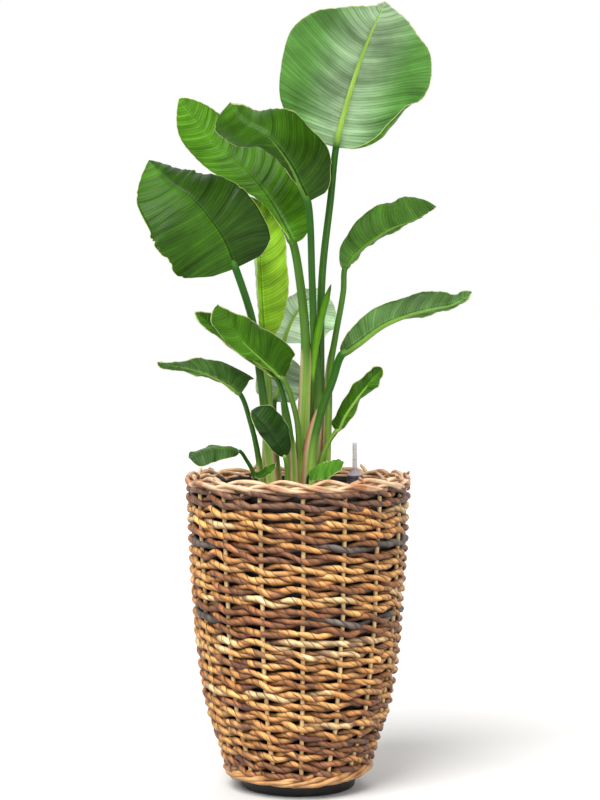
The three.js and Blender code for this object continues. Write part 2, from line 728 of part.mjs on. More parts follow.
const spear = new THREE.CatmullRomCurve3(SPEAR.map((point) => new THREE.Vector3(...point)));
add("spear", taperedRod(spear, 0, 1, SPEAR_RADIUS, 1).translate(0, 0, GAP), FINISHES.young);

export default part;
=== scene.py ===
"""A tall bird of paradise plant in a black liner pot, which stands inside a woven basket.

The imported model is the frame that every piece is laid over. Lengths are in metres and +Z is up. The front
of the object faces -Y and its foot stands at the origin.
"""

import math
import random

import bmesh
import bpy
import numpy as np
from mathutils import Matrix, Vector


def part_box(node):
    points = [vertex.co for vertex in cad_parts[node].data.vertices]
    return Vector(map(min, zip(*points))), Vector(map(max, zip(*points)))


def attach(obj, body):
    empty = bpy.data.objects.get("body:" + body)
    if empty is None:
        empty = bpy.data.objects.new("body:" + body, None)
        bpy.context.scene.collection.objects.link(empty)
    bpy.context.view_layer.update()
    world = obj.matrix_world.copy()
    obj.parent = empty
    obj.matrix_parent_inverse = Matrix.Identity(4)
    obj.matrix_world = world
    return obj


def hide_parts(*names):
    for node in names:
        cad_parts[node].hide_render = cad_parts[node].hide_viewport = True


bl_info = {
    "name": "Potted bird of paradise",
    "version": (1, 0, 0),
    "blender": (4, 5, 0),
    "location": "3D View > Sidebar > Plant",
    "description": "Models a tall bird of paradise plant in its liner pot and woven basket",
    "category": "Add Mesh",
}

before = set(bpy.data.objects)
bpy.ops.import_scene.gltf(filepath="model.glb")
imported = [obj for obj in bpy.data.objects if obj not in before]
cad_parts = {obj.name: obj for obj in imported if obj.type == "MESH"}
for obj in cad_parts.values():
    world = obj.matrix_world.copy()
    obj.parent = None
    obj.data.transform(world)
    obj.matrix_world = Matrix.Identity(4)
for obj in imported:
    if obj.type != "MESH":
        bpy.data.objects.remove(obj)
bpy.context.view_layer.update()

MM = 0.001
FULL_TURN = 2 * math.pi

# Heights and places that the frame gives.
POT_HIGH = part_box("liner_pot")[1]
WALL_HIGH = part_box("basket_wall")[1]
RIM_LOW, RIM_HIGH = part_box("basket_rim")
BORDER_LOW, BORDER_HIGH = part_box("basket_base_border")
FILL_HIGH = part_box("substrate")[1][2]
TUBE_LOW, TUBE_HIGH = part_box("gauge_tube")
HEAD_LOW, HEAD_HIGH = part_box("gauge_head")
SIGHT_LOW, SIGHT_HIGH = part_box("gauge_sight_tube")
GAUGE_X = (TUBE_LOW[0] + TUBE_HIGH[0]) / 2
GAUGE_Y = (TUBE_LOW[1] + TUBE_HIGH[1]) / 2
TUBE_RADIUS = (TUBE_HIGH[0] - TUBE_LOW[0]) / 2
SIGHT_RADIUS = (SIGHT_HIGH[0] - SIGHT_LOW[0]) / 2

# The outer face of the basket in millimetres: height and radius.
BASKET_OUTLINE = (
    (22, 135), (34, 140), (62, 148), (100, 161), (150, 178), (230, 192), (330, 202), (440, 209), (574, 215),
    (596, 215),
)
STAKE_DEPTH = 13.3 * MM  # from the outer face in to the middle of the stakes
LINER_DEPTH = 24.3 * MM  # from the outer face in to the liner pot
FILL_DEPTH = 29.5 * MM  # from the outer face in to the edge of the granules
FIRST_STAKE = math.radians(2.5)  # turn from the front to the first stake
BASE_RISE = 12 * MM  # how much higher the foot of the weave lies at the right than at the front

# The tones of the dried bark that the strands are twisted from.
BARK = {
    "s": "#DEB882",  # straw
    "g": "#D89E5C",  # golden
    "t": "#BE8448",  # tan
    "o": "#A06632",  # orange brown
    "b": "#905C36",  # brown
    "m": "#78533C",  # mauve brown
    "k": "#5E544C",  # weathered grey
    "d": "#4E3020",  # dark brown
}

# The rows of the weave, from the base border up to the rim. Each holds three keys of BARK: the tones of its
# two strands, then the tone that is also spliced into both.
WEAVE_ROWS = (
    "bmt", "bot", "tgb", "btm", "btg", "gts", "gtb", "bgt", "gts", "tgo", "gto", "tgb", "sgt", "tgs", "btg",
    "bkt", "tbg", "gst", "btg", "tgb", "gtg", "gtb", "bkt", "bto", "sgt", "gts", "mmb", "mmt",
)


def linear(hex_code):
    """An sRGB hex colour as the linear numbers that Blender's sockets hold."""
    shares = [int(hex_code[i : i + 2], 16) / 255 for i in (1, 3, 5)]
    curved = [s / 12.92 if s <= 0.04045 else ((s + 0.055) / 1.055) ** 2.4 for s in shares]
    return (*curved, 1.0)


# ---------------------------------------------------------------------------------------------------------
# Settings
# ---------------------------------------------------------------------------------------------------------


def colour_setting(name, description, hex_code):
    return bpy.props.FloatVectorProperty(
        name=name, description=description, default=linear(hex_code), size=4, min=0, max=1, subtype="COLOR"
    )


def length_setting(name, description, millimetres):
    return bpy.props.FloatProperty(
        name=name, description=description, default=millimetres * MM, min=0, precision=4, unit="LENGTH"
    )


class BasketSettings(bpy.types.PropertyGroup):
    stakes: bpy.props.IntProperty(name="Stakes", description="Upright stakes round the basket", default=16)
    stake_radius: length_setting("Stake radius", "Half the width of a stake", 4.1)
    strand_radius: length_setting("Strand radius", "Half the thickness of a twisted bark strand", 5.8)
    sway: length_setting("Sway", "How far a strand passes in front of the stakes and behind them", 6.0)
    lift: length_setting("Lift", "How far a strand dips and rises where two strands cross", 4.7)
    rod_radius: length_setting("Rod radius", "Half the thickness of a rod of the borders", 4.6)
    stake_colour: colour_setting("Stakes", "Dry cane of the upright stakes", "#E4C48E")
    rod_colour: colour_setting("Rods", "Peeled willow of the rim", "#F6CEA6")
    cane_colour: colour_setting("Cane", "Rods of the border at the foot", "#DCA86C")


class PotSettings(bpy.types.PropertyGroup):
    grain_spacing: length_setting("Grain spacing", "Distance between neighbouring mineral grains", 6.4)
    plastic_colour: colour_setting("Liner", "Moulded plastic of the liner pot", "#0C0D0F")
    gauge_colour: colour_setting("Gauge head", "Moulded plastic of the gauge's head", "#A09AA6")


class PlantSettings(bpy.types.PropertyGroup):
    leaf_thickness: length_setting("Leaf thickness", "Thickness of a leaf blade", 0.9)
    pleat_spacing: length_setting("Pleat spacing", "Distance between two pleats of a blade", 18.5)
    vein_spacing: length_setting("Vein spacing", "Distance between two veins of a blade", 6)
    old_colour: colour_setting("Old leaf", "Upper side of an old leaf", "#20420A")
    mature_colour: colour_setting("Mature leaf", "Upper side of a mature leaf", "#467A06")
    young_colour: colour_setting("Young leaf", "Half unrolled leaf and the new shoot", "#93BF34")
    under_colour: colour_setting("Underside", "Underside of a leaf", "#649A4C")
    # The whitish colour of the bloom: partly wax and partly painted sheen.
    bloom_and_sheen_colour: colour_setting("Bloom", "Whitish wax on a leaf", "#BCD2B4")
    margin_colour: colour_setting("Margin", "Thin pale margin of a leaf", "#C3CB88")
    stalk_colour: colour_setting("Stalk", "Upper part of a leaf stalk", "#205408")
    sheath_colour: colour_setting("Sheath", "Foot of a leaf stalk", "#9CC452")
    pale_colour: colour_setting("Sheath margin", "Thin pale part of a sheath near its edge", "#D8CBA4")
    edge_colour: colour_setting("Sheath edge", "Dry edge of a sheath", "#C08C70")


class StageSettings(bpy.types.PropertyGroup):
    floor_colour: colour_setting("Floor", "Matt pale studio floor", "#F4F3F1")
    daylight: bpy.props.FloatProperty(name="Daylight", description="Even light of the studio", default=0.35)
    key_power: bpy.props.FloatProperty(
        name="Lights", description="Strength of the three soft lights", default=2.6
    )


# ---------------------------------------------------------------------------------------------------------
# Helpers
# ---------------------------------------------------------------------------------------------------------


def add_node(tree, kind, inputs=None, stops=None, **settings):
    """Adds a node. inputs holds a value, or what feeds it, for each socket that isn't left as it is: an
    output, or a node for its first output. settings holds the node's own properties, and stops a colour
    ramp's places and colours."""
    made = tree.nodes.new(kind)
    for name, value in settings.items():
        setattr(made, name, value)
    for key, value in (inputs or {}).items():
        if isinstance(value, bpy.types.Node):
            value = value.outputs[0]
        if isinstance(value, bpy.types.NodeSocket):
            tree.links.new(value, made.inputs[key])
        else:
            made.inputs[key].default_value = value
    for index, (place, colour) in enumerate(stops or ()):
        spots = made.color_ramp.elements
        spot = spots[index] if index < len(spots) else spots.new(place)
        spot.position, spot.color = place, colour
    return made


def per_metre(millimetres):
    """The scale of a pattern whose features are this many millimetres apart."""
    return 1 / (millimetres * MM)


def new_material(name):
    """A material and its node tree, still empty."""
    material = bpy.data.materials.new(name)
    material.use_nodes = True
    material.node_tree.nodes.clear()
    return material, material.node_tree


def finish_material(material, inputs):
    """Gives a material its shader, with these inputs, and returns it."""
    shader = add_node(material.node_tree, "ShaderNodeBsdfPrincipled", inputs)
    add_node(material.node_tree, "ShaderNodeOutputMaterial", {"Surface": shader})
    return material


def add_piece(context, bm, name, materials, stands_for):
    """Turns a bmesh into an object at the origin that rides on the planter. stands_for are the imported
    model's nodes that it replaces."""
    for face in bm.faces:
        face.smooth = True
    mesh = bpy.data.meshes.new(name)
    bm.to_mesh(mesh)
    bm.free()
    for material in materials:
        mesh.materials.append(material)
    piece = bpy.data.objects.new(name, mesh)
    context.scene.collection.objects.link(piece)
    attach(piece, "planter")
    if stands_for:
        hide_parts(*stands_for)
    return piece


def moved_grid(bm, columns, rows, place):
    """A grid whose vertices go to the points that place(u, v) gives for arrays of u and v from 0 to 1.
    Returns its vertices with their u and v."""
    made = bmesh.ops.create_grid(bm, x_segments=columns, y_segments=rows, size=1, calc_uvs=True)["verts"]
    flat = np.array([vert.co[:2] for vert in made]) / 2 + 0.5
    u, v = flat[:, 0].round(9), flat[:, 1].round(9)
    for vert, point in zip(made, place(u, v)):
        vert.co = point
    return made, u, v


def tube(
    bm, path, first, second, sides, section=None, closed=False, shades=None, shade_layers=(), start=0.0
):
    """A tube round a path. first and second are its half axes at each point of the path, section(turn, k)
    may change the radius, and each of shades(turn, k) gives the values of a vertex layer. Its UV map holds
    the turn from 0 to 1, and the length along it from start in metres."""
    rows = len(path) - 1
    steps = np.linalg.norm(np.diff(path, axis=0), axis=1)
    length = steps.sum()

    def place(u, v):
        k = np.rint(v * rows).astype(int)
        turn = u * FULL_TURN + math.pi
        wide, high = np.cos(turn), np.sin(turn)
        if section:
            wide, high = section(turn, k)
        return path[k] + first[k] * wide[:, None] + second[k] * high[:, None]

    made, u, v = moved_grid(bm, sides, rows, place)
    k = np.rint(v * rows).astype(int)
    for layer, shade in zip(shade_layers, shades or ()):
        for vert, value in zip(made, shade(u * FULL_TURN + math.pi, k)):
            vert[layer] = value
    uv_map = bm.loops.layers.uv.active
    faces = {face for vert in made for face in vert.link_faces}
    for face in faces:
        for loop in face.loops:
            loop[uv_map].uv[1] = start + length * loop[uv_map].uv[1]
    bmesh.ops.remove_doubles(bm, verts=made, dist=1e-7)
    if not closed:
        edges = {edge for face in faces if face.is_valid for edge in face.edges if edge.is_boundary}
        bmesh.ops.holes_fill(bm, edges=list(edges), sides=0)


def new_bmesh():
    bm = bmesh.new()
    bm.loops.layers.uv.new("UVMap")
    return bm


def unit(vectors):
    return vectors / np.linalg.norm(vectors, axis=-1, keepdims=True)


def turned(bm, profile, steps=64, x=0, y=0):
    """A closed solid of revolution about an upright axis, from (radius, height) points in metres."""
    verts = [bm.verts.new((radius, 0, height)) for radius, height in profile]
    edges = [bm.edges.new(pair) for pair in zip(verts, verts[1:])]
    bmesh.ops.spin(
        bm, geom=verts + edges, cent=(0, 0, 0), axis=(0, 0, 1), angle=FULL_TURN, steps=steps, use_merge=True
    )
    bmesh.ops.remove_doubles(bm, verts=bm.verts, dist=1e-6)
    bmesh.ops.recalc_face_normals(bm, faces=bm.faces)
    bmesh.ops.translate(bm, verts=bm.verts, vec=(x, y, 0))


def ripple(turn, chance, lowest, highest):
    """A smooth random wave round a full turn, between about -1 and 1, from six waves that go round a whole
    number of times between lowest and highest."""
    count = 6
    waves = [(chance.randint(lowest, highest), chance.uniform(0, FULL_TURN)) for _ in range(count)]
    return sum(np.sin(number * turn + start) for number, start in waves) / math.sqrt(count)


def basket_radius(height):
    """The outer radius of the basket at a height, both in metres."""
    heights, radii = np.array(BASKET_OUTLINE).T * MM
    return np.interp(height, heights, radii)


# ---------------------------------------------------------------------------------------------------------
# Finishes of the basket and the pot
# ---------------------------------------------------------------------------------------------------------


def bark_rope():
    """Banana bark, rolled and twisted into strands by hand: smooth dry fibre with a dull gloss, in the tone
    of each strand. Each wrap, 20 mm long, ends in a slanting crease, painted dark as shade, and each wrap is
    painted darker next to that crease and lighter away from it. The wraps differ in tone and a few are dark
    purple. Fine fibres follow the twist, and there are specks of mould."""
    material, tree = new_material("twisted_banana_bark")
    uv = add_node(tree, "ShaderNodeUVMap", uv_map="UVMap")
    spot = add_node(tree, "ShaderNodeTexCoord")
    split = add_node(tree, "ShaderNodeSeparateXYZ", {0: uv})
    drift = add_node(
        tree, "ShaderNodeTexNoise",
        {"W": split.outputs[1], "Scale": per_metre(50), "Detail": 1},
        noise_dimensions="1D",
    )
    wander = add_node(tree, "ShaderNodeMath", {0: drift, 1: 1.3}, operation="MULTIPLY")
    wraps = add_node(
        tree, "ShaderNodeMath", {0: split.outputs[1], 1: per_metre(20)}, operation="MULTIPLY"
    )
    round_it = add_node(tree, "ShaderNodeMath", {0: split, 1: 2}, operation="MULTIPLY")
    turns = add_node(tree, "ShaderNodeMath", {0: wraps, 1: round_it}, operation="SUBTRACT")
    phase = add_node(tree, "ShaderNodeMath", {0: turns, 1: wander}, operation="ADD")
    saw = add_node(tree, "ShaderNodeMath", {0: phase}, operation="FRACT")
    wrap = add_node(tree, "ShaderNodeMath", {0: phase}, operation="FLOOR")
    own = add_node(tree, "ShaderNodeTexWhiteNoise", {"W": wrap}, noise_dimensions="1D")
    # The crease: a painted shadow line where each wrap overlaps the next.
    crease = add_node(
        tree, "ShaderNodeMapRange",
        {"Value": saw, "From Min": 0.05, "From Max": 0.13, "To Min": 1, "To Max": 0},
    )
    # Real fibres, about 0.5 mm wide, are too fine to show, so they are drawn about 3 mm wide.
    along = add_node(
        tree, "ShaderNodeMath", {0: split.outputs[1], 1: per_metre(33.33)}, operation="MULTIPLY"
    )
    over = add_node(tree, "ShaderNodeMath", {0: phase, 1: 5}, operation="MULTIPLY")
    fibre_spot = add_node(tree, "ShaderNodeCombineXYZ", {0: over, 1: along})
    fibre = add_node(tree, "ShaderNodeTexNoise", {"Vector": fibre_spot, "Scale": 1.5, "Detail": 4})
    patch = add_node(
        tree, "ShaderNodeTexNoise",
        {"Vector": spot.outputs["Object"], "Scale": per_metre(22.22), "Detail": 2},
    )
    present = add_node(tree, "ShaderNodeMapRange", {"Value": patch, "From Min": 0.36, "From Max": 0.46})
    crease_shadow = add_node(tree, "ShaderNodeMath", {0: crease, 1: present}, operation="MULTIPLY")
    tone = add_node(tree, "ShaderNodeAttribute", attribute_name="bark")
    streak = add_node(
        tree, "ShaderNodeMapRange",
        {"Value": fibre, "From Min": 0.3, "From Max": 0.7, "To Min": 0.55, "To Max": 1.5},
    )
    wrap_tone = add_node(
        tree, "ShaderNodeMapRange", {"Value": own.outputs["Value"], "To Min": 0.72, "To Max": 1.26}
    )
    # Painted shade: each wrap is darker next to its crease and lighter further from it.
    wrap_shade = add_node(
        tree, "ShaderNodeMapRange", {"Value": saw, "From Max": 0.6, "To Min": 0.66, "To Max": 1.12}
    )
    # From here wrap_tone holds the wrap's own tone and its painted shade.
    wrap_tone = add_node(tree, "ShaderNodeMath", {0: wrap_tone, 1: wrap_shade}, operation="MULTIPLY")
    light = add_node(tree, "ShaderNodeMath", {0: streak, 1: wrap_tone}, operation="MULTIPLY")
    fibres = add_node(
        tree, "ShaderNodeVectorMath", {0: tone.outputs["Color"], "Scale": light}, operation="SCALE"
    )
    # Real specks, about 1 mm wide, are too fine to show, so they are drawn 2.4 mm wide.
    specks = add_node(
        tree, "ShaderNodeTexNoise",
        {"Vector": spot.outputs["Object"], "Scale": per_metre(2.381), "Detail": 2},
    )
    mould = add_node(
        tree, "ShaderNodeMapRange", {"Value": specks, "From Min": 0.64, "From Max": 0.72, "To Max": 0.7}
    )
    speckled = add_node(
        tree, "ShaderNodeMix", {"Factor": mould, 6: fibres, 7: linear("#3A2414")}, data_type="RGBA"
    )
    odd = add_node(
        tree, "ShaderNodeMapRange", {"Value": own.outputs["Value"], "From Min": 0.76, "From Max": 0.8}
    )
    region = add_node(
        tree, "ShaderNodeTexNoise",
        {"Vector": spot.outputs["Object"], "Scale": per_metre(71.43), "Detail": 1},
    )
    mixed = add_node(
        tree, "ShaderNodeMapRange", {"Value": region, "From Min": 0.54, "From Max": 0.6, "To Max": 0.75}
    )
    stripe = add_node(tree, "ShaderNodeMath", {0: odd, 1: mixed}, operation="MULTIPLY")
    striped = add_node(
        tree, "ShaderNodeMix",
        {"Factor": stripe, 6: speckled.outputs[2], 7: linear("#4E2A28")},
        data_type="RGBA",
    )
    # The creases are painted near black, #24120A, as shade.
    crease_shaded = add_node(
        tree, "ShaderNodeMix",
        {"Factor": crease_shadow, 6: striped.outputs[2], 7: linear("#24120A")},
        data_type="RGBA",
    )
    step = add_node(tree, "ShaderNodeMath", {0: saw, 1: 1.6}, operation="MULTIPLY")
    height = add_node(tree, "ShaderNodeMath", {0: step, 1: fibre}, operation="ADD")
    bump = add_node(tree, "ShaderNodeBump", {"Strength": 0.7, "Distance": 2.2 * MM, "Height": height})
    shine = add_node(tree, "ShaderNodeMapRange", {"Value": fibre, "To Min": 0.62, "To Max": 0.4})
    return finish_material(
        material, {"Base Color": crease_shaded.outputs[2], "Roughness": shine, "Normal": bump}
    )


def willow(name, colour, shade_hex, under=1.0):
    """Peeled willow and cane, dried: smooth wood, a little glossy, streaked along its length, with darker
    bands where a side shoot was. The side of a rod that faces down is painted darker as shade and the side
    that faces up a little lighter, and under is the share of the colour that the lowest side keeps."""
    material, tree = new_material(name)
    uv = add_node(tree, "ShaderNodeUVMap", uv_map="UVMap")
    spot = add_node(tree, "ShaderNodeTexCoord")
    # Real wood grain, about 0.3 mm wide, is too fine to show, so it is drawn about 1.5 mm wide.
    stretch = add_node(tree, "ShaderNodeMapping", {0: uv, "Scale": (9, per_metre(71.43), 1)})
    grain = add_node(tree, "ShaderNodeTexNoise", {"Vector": stretch, "Scale": 2.2, "Detail": 4})
    patch = add_node(
        tree, "ShaderNodeTexNoise",
        {"Vector": spot.outputs["Object"], "Scale": per_metre(33.33), "Detail": 2},
    )
    both = add_node(tree, "ShaderNodeMath", {0: grain, 1: patch}, operation="MULTIPLY")
    share = add_node(tree, "ShaderNodeMapRange", {"Value": both, "From Min": 0.14, "From Max": 0.32})
    blend = add_node(
        tree, "ShaderNodeMix",
        {"Factor": share, 6: linear(shade_hex), 7: tuple(colour)},
        data_type="RGBA",
    )
    # Painted shade: darker on the lower side of the rod, found from the turn of its UV map, and a little
    # lighter on the upper side.
    split = add_node(tree, "ShaderNodeSeparateXYZ", {0: uv})
    turn = add_node(tree, "ShaderNodeMath", {0: split, 1: -FULL_TURN}, operation="MULTIPLY")
    down = add_node(tree, "ShaderNodeMath", {0: turn}, operation="SINE")
    shade = add_node(
        tree, "ShaderNodeMapRange", {"Value": down, "From Min": -0.4, "To Min": 1.1, "To Max": under}
    )
    shaded_wood = add_node(
        tree, "ShaderNodeVectorMath", {0: blend.outputs[2], "Scale": shade}, operation="SCALE"
    )
    bump = add_node(tree, "ShaderNodeBump", {"Strength": 0.3, "Distance": 0.8 * MM, "Height": grain})
    return finish_material(material, {"Base Color": shaded_wood, "Roughness": 0.45, "Normal": bump})


def moulded_plastic(name, colour, roughness=0.35, grain=0.2 * MM, painted_glow=0.0):
    """Injection moulded polypropylene: one colour, a satin skin with a faint mould texture, and dust that
    dulls it in patches. painted_glow is painted light: the surface glows in its own colour without a lamp,
    standing in for the brightness of a fluorescent dye."""
    material, tree = new_material(name)
    spot = add_node(tree, "ShaderNodeTexCoord")
    # The real mould texture, about 0.1 mm wide, is too fine to show, so it is drawn 1.1 mm wide.
    skin = add_node(
        tree, "ShaderNodeTexNoise",
        {"Vector": spot.outputs["Object"], "Scale": per_metre(1.111), "Detail": 2},
    )
    dust = add_node(
        tree, "ShaderNodeTexNoise",
        {"Vector": spot.outputs["Object"], "Scale": per_metre(45.45), "Detail": 4},
    )
    dull = add_node(
        tree, "ShaderNodeMapRange",
        {
            "Value": dust, "From Min": 0.3, "From Max": 0.7, "To Min": roughness,
            "To Max": roughness + 0.2,
        },
    )
    veil = add_node(
        tree, "ShaderNodeMapRange", {"Value": dust, "From Min": 0.5, "From Max": 0.8, "To Max": 0.06}
    )
    blend = add_node(
        tree, "ShaderNodeMix",
        {"Factor": veil, 6: tuple(colour), 7: linear("#9A948C")},
        data_type="RGBA",
    )
    bump = add_node(tree, "ShaderNodeBump", {"Strength": 0.2, "Distance": grain, "Height": skin})
    return finish_material(
        material,
        {
            "Base Color": blend.outputs[2], "Roughness": dull, "Normal": bump, "IOR": 1.4,
            "Emission Color": tuple(colour), "Emission Strength": painted_glow,
        },
    )


def clear_plastic():
    """Clear acrylic tube, extruded: glossy and see-through, with a light grey haze."""
    material, tree = new_material("clear_acrylic")
    spot = add_node(tree, "ShaderNodeTexCoord")
    haze = add_node(
        tree, "ShaderNodeTexNoise",
        {"Vector": spot.outputs["Object"], "Scale": per_metre(8.333), "Detail": 2},
    )
    rough = add_node(tree, "ShaderNodeMapRange", {"Value": haze, "To Min": 0.05, "To Max": 0.16})
    return finish_material(
        material,
        {
            "Base Color": linear("#DDDBDE"), "Roughness": rough, "IOR": 1.49, "Alpha": 0.4,
            "Specular IOR Level": 0.4,
        },
    )


def mineral_grains():
    """Crushed pumice, zeolite and lava: dry matt grains from chalk white to dark grey, each one grain of a
    single tone, with small pores."""
    material, tree = new_material("mineral_granules")
    tone = add_node(tree, "ShaderNodeAttribute", attribute_name="tone")
    spot = add_node(tree, "ShaderNodeTexCoord")
    # Real pores, about 0.3 mm wide, are too fine to show, so they are drawn 1.1 mm wide.
    pores = add_node(
        tree, "ShaderNodeTexNoise",
        {"Vector": spot.outputs["Object"], "Scale": per_metre(1.111), "Detail": 3},
    )
    ramp = add_node(
        tree, "ShaderNodeValToRGB", {0: tone.outputs["Fac"]},
        stops=[
            (0.0, linear("#2E2A27")), (0.2, linear("#55504A")), (0.4, linear("#8C8479")),
            (0.6, linear("#A79F92")), (0.8, linear("#CFCAC0")), (1.0, linear("#ECEAE4")),
        ],
    )
    pitted = add_node(
        tree, "ShaderNodeMapRange",
        {"Value": pores, "From Min": 0.3, "From Max": 0.7, "To Min": 0.7, "To Max": 1.15},
    )
    colour = add_node(tree, "ShaderNodeVectorMath", {0: ramp, "Scale": pitted}, operation="SCALE")
    bump = add_node(tree, "ShaderNodeBump", {"Strength": 0.6, "Distance": 0.8 * MM, "Height": pores})
    return finish_material(material, {"Base Color": colour, "Roughness": 0.92, "Normal": bump})


# ---------------------------------------------------------------------------------------------------------
# Finishes of the plant
# ---------------------------------------------------------------------------------------------------------


def leaf_skin(name, settings, under=False):
    """Leaf of a bird of paradise. Above, a waxy cuticle with soft gloss: deep green, in lighter and darker
    bands that follow the veins from the midrib to the margin, partly the leaf's own tone and partly painted
    sheen, with painted shade in the groove along the midrib and a painted highlight beside it. Below, a
    paler and duller green with a whitish bloom beside the midrib, partly wax and partly a painted sheen. Age
    and bloom differ from leaf to leaf, each half is painted lighter or darker by its tone, as painted light
    and shade, and a thin pale line runs along the margin."""
    material, tree = new_material(name)
    uv = add_node(tree, "ShaderNodeUVMap", uv_map="UVMap")
    split = add_node(tree, "ShaderNodeSeparateXYZ", {0: uv})
    spot = add_node(tree, "ShaderNodeTexCoord")
    age, bloom, hem, keel, tone = (
        add_node(tree, "ShaderNodeAttribute", attribute_name=kind)
        for kind in ("age", "bloom", "hem", "keel", "tone")
    )
    broad_spot = add_node(
        tree, "ShaderNodeMapping", {0: uv, "Scale": (per_metre(22), per_metre(300), 1)}
    )
    broad = add_node(
        tree, "ShaderNodeTexNoise",
        {"Vector": broad_spot, "Scale": 1, "Detail": 4, "Roughness": 0.72, "Distortion": 0.15},
    )
    # Real veins lie about 2 mm apart, too fine to show, so about every third one is drawn.
    vein_spot = add_node(
        tree, "ShaderNodeMapping", {0: uv, "Scale": (1 / settings.vein_spacing, per_metre(80), 1)}
    )
    vein = add_node(
        tree, "ShaderNodeTexWave",
        {
            "Vector": vein_spot, "Scale": FULL_TURN / 20, "Distortion": 2.4, "Detail": 2,
            "Detail Scale": 0.5,
        },
    )
    crest = add_node(tree, "ShaderNodeMath", {0: vein.outputs["Fac"], 1: 5.0}, operation="POWER")
    cloud = add_node(
        tree, "ShaderNodeTexNoise",
        {"Vector": spot.outputs["Object"], "Scale": per_metre(90.91), "Detail": 3},
    )
    green = add_node(
        tree, "ShaderNodeValToRGB", {0: age.outputs["Fac"]},
        stops=[
            (0.0, tuple(settings.old_colour)), (0.5, tuple(settings.mature_colour)),
            (1.0, tuple(settings.young_colour)),
        ],
    )
    off = add_node(tree, "ShaderNodeMath", {0: split.outputs[1]}, operation="ABSOLUTE")
    beside = add_node(
        tree, "ShaderNodeMapRange",
        {
            "Value": off, "From Min": 4 * MM, "From Max": 100 * MM, "To Min": 1.0 if under else 0.01,
            "To Max": 0,
        },
        interpolation_type="SMOOTHSTEP",
    )
    # Whitish bloom, strongest beside the midrib on the underside: partly wax and partly a painted sheen.
    wax_and_sheen = add_node(tree, "ShaderNodeMath", {0: bloom.outputs["Fac"], 1: beside}, operation="ADD")
    wax_and_sheen = add_node(tree, "ShaderNodeMath", {0: wax_and_sheen, 1: broad}, operation="MULTIPLY")
    base = green.outputs[0]
    if under:
        base = add_node(
            tree, "ShaderNodeMix",
            {"Factor": 0.7, 6: base, 7: tuple(settings.under_colour)},
            data_type="RGBA",
        ).outputs[2]
    base = add_node(
        tree, "ShaderNodeMix",
        {"Factor": wax_and_sheen, 6: base, 7: tuple(settings.bloom_and_sheen_colour)},
        data_type="RGBA",
    ).outputs[2]
    # The bands and the cloudy patches below are partly the leaf's own tone and partly painted sheen.
    bands = add_node(
        tree, "ShaderNodeMapRange",
        {
            "Value": broad, "From Min": 0.32, "From Max": 0.68, "To Min": 0.68 if under else 0.58,
            "To Max": 1.34 if under else 1.5,
        },
    )
    shade = add_node(
        tree, "ShaderNodeMapRange",
        {"Value": cloud, "From Min": 0.32, "From Max": 0.68, "To Min": 0.66, "To Max": 1.34},
    )
    lines = add_node(
        tree, "ShaderNodeMapRange",
        {"Value": crest, "To Min": 1.06 if under else 0.95, "To Max": 0.8 if under else 1.25},
    )
    light = add_node(tree, "ShaderNodeMath", {0: bands, 1: shade}, operation="MULTIPLY")
    light = add_node(tree, "ShaderNodeMath", {0: light, 1: lines}, operation="MULTIPLY")
    groove = add_node(tree, "ShaderNodeMath", {0: off, 1: keel.outputs["Fac"]}, operation="DIVIDE")
    # Painted shade in the groove of the midrib and a painted highlight beside it: greys that multiply the
    # green, not colours of their own.
    groove = add_node(
        tree, "ShaderNodeValToRGB", {0: groove},
        stops=[
            (0.0, (0.55, 0.55, 0.55, 1)), (0.22, (0.6, 0.6, 0.6, 1)), (0.4, (1.5, 1.5, 1.5, 1)),
            (0.65, (1.3, 1.3, 1.3, 1)), (0.95, (1, 1, 1, 1)),
        ],
    )
    light = add_node(tree, "ShaderNodeMath", {0: light, 1: groove}, operation="MULTIPLY")
    # Painted light and shade: each half of the blade is lighter or darker, from its base to its tip, by its
    # tone.
    light = add_node(tree, "ShaderNodeMath", {0: light, 1: tone.outputs["Fac"]}, operation="MULTIPLY")
    streaked = add_node(tree, "ShaderNodeVectorMath", {0: base, "Scale": light}, operation="SCALE")
    rim = add_node(
        tree, "ShaderNodeMapRange",
        {"Value": hem.outputs["Fac"], "From Min": 0.7, "From Max": 1.3, "To Min": 0.85, "To Max": 0},
    )
    edged = add_node(
        tree, "ShaderNodeMix",
        {"Factor": rim, 6: streaked, 7: tuple(settings.margin_colour)},
        data_type="RGBA",
    )
    ridges = add_node(tree, "ShaderNodeMath", {0: crest, 1: broad}, operation="ADD")
    bump = add_node(
        tree, "ShaderNodeBump",
        {"Strength": 0.45 if under else 0.35, "Distance": 1 * MM, "Height": ridges},
    )
    gloss = add_node(
        tree, "ShaderNodeMapRange",
        {
            "Value": cloud, "From Min": 0.3, "From Max": 0.7, "To Min": 0.42 if under else 0.28,
            "To Max": 0.55 if under else 0.42,
        },
    )
    return finish_material(
        material,
        {
            "Base Color": edged.outputs[2], "Roughness": gloss, "Normal": bump, "IOR": 1.45,
            "Specular IOR Level": 0.16,
        },
    )


def leaf_margin(settings):
    """The dry, translucent edge of a leaf blade: thin, pale yellow and matt."""
    material, tree = new_material("leaf_margin")
    spot = add_node(tree, "ShaderNodeTexCoord")
    spots = add_node(
        tree, "ShaderNodeTexNoise",
        {"Vector": spot.outputs["Object"], "Scale": per_metre(16.67), "Detail": 3},
    )
    brown = add_node(
        tree, "ShaderNodeMapRange", {"Value": spots, "From Min": 0.6, "From Max": 0.75, "To Max": 0.7}
    )
    blend = add_node(
        tree, "ShaderNodeMix",
        {"Factor": brown, 6: tuple(settings.margin_colour), 7: linear("#8A6A3A")},
        data_type="RGBA",
    )
    return finish_material(material, {"Base Color": blend.outputs[2], "Roughness": 0.55})


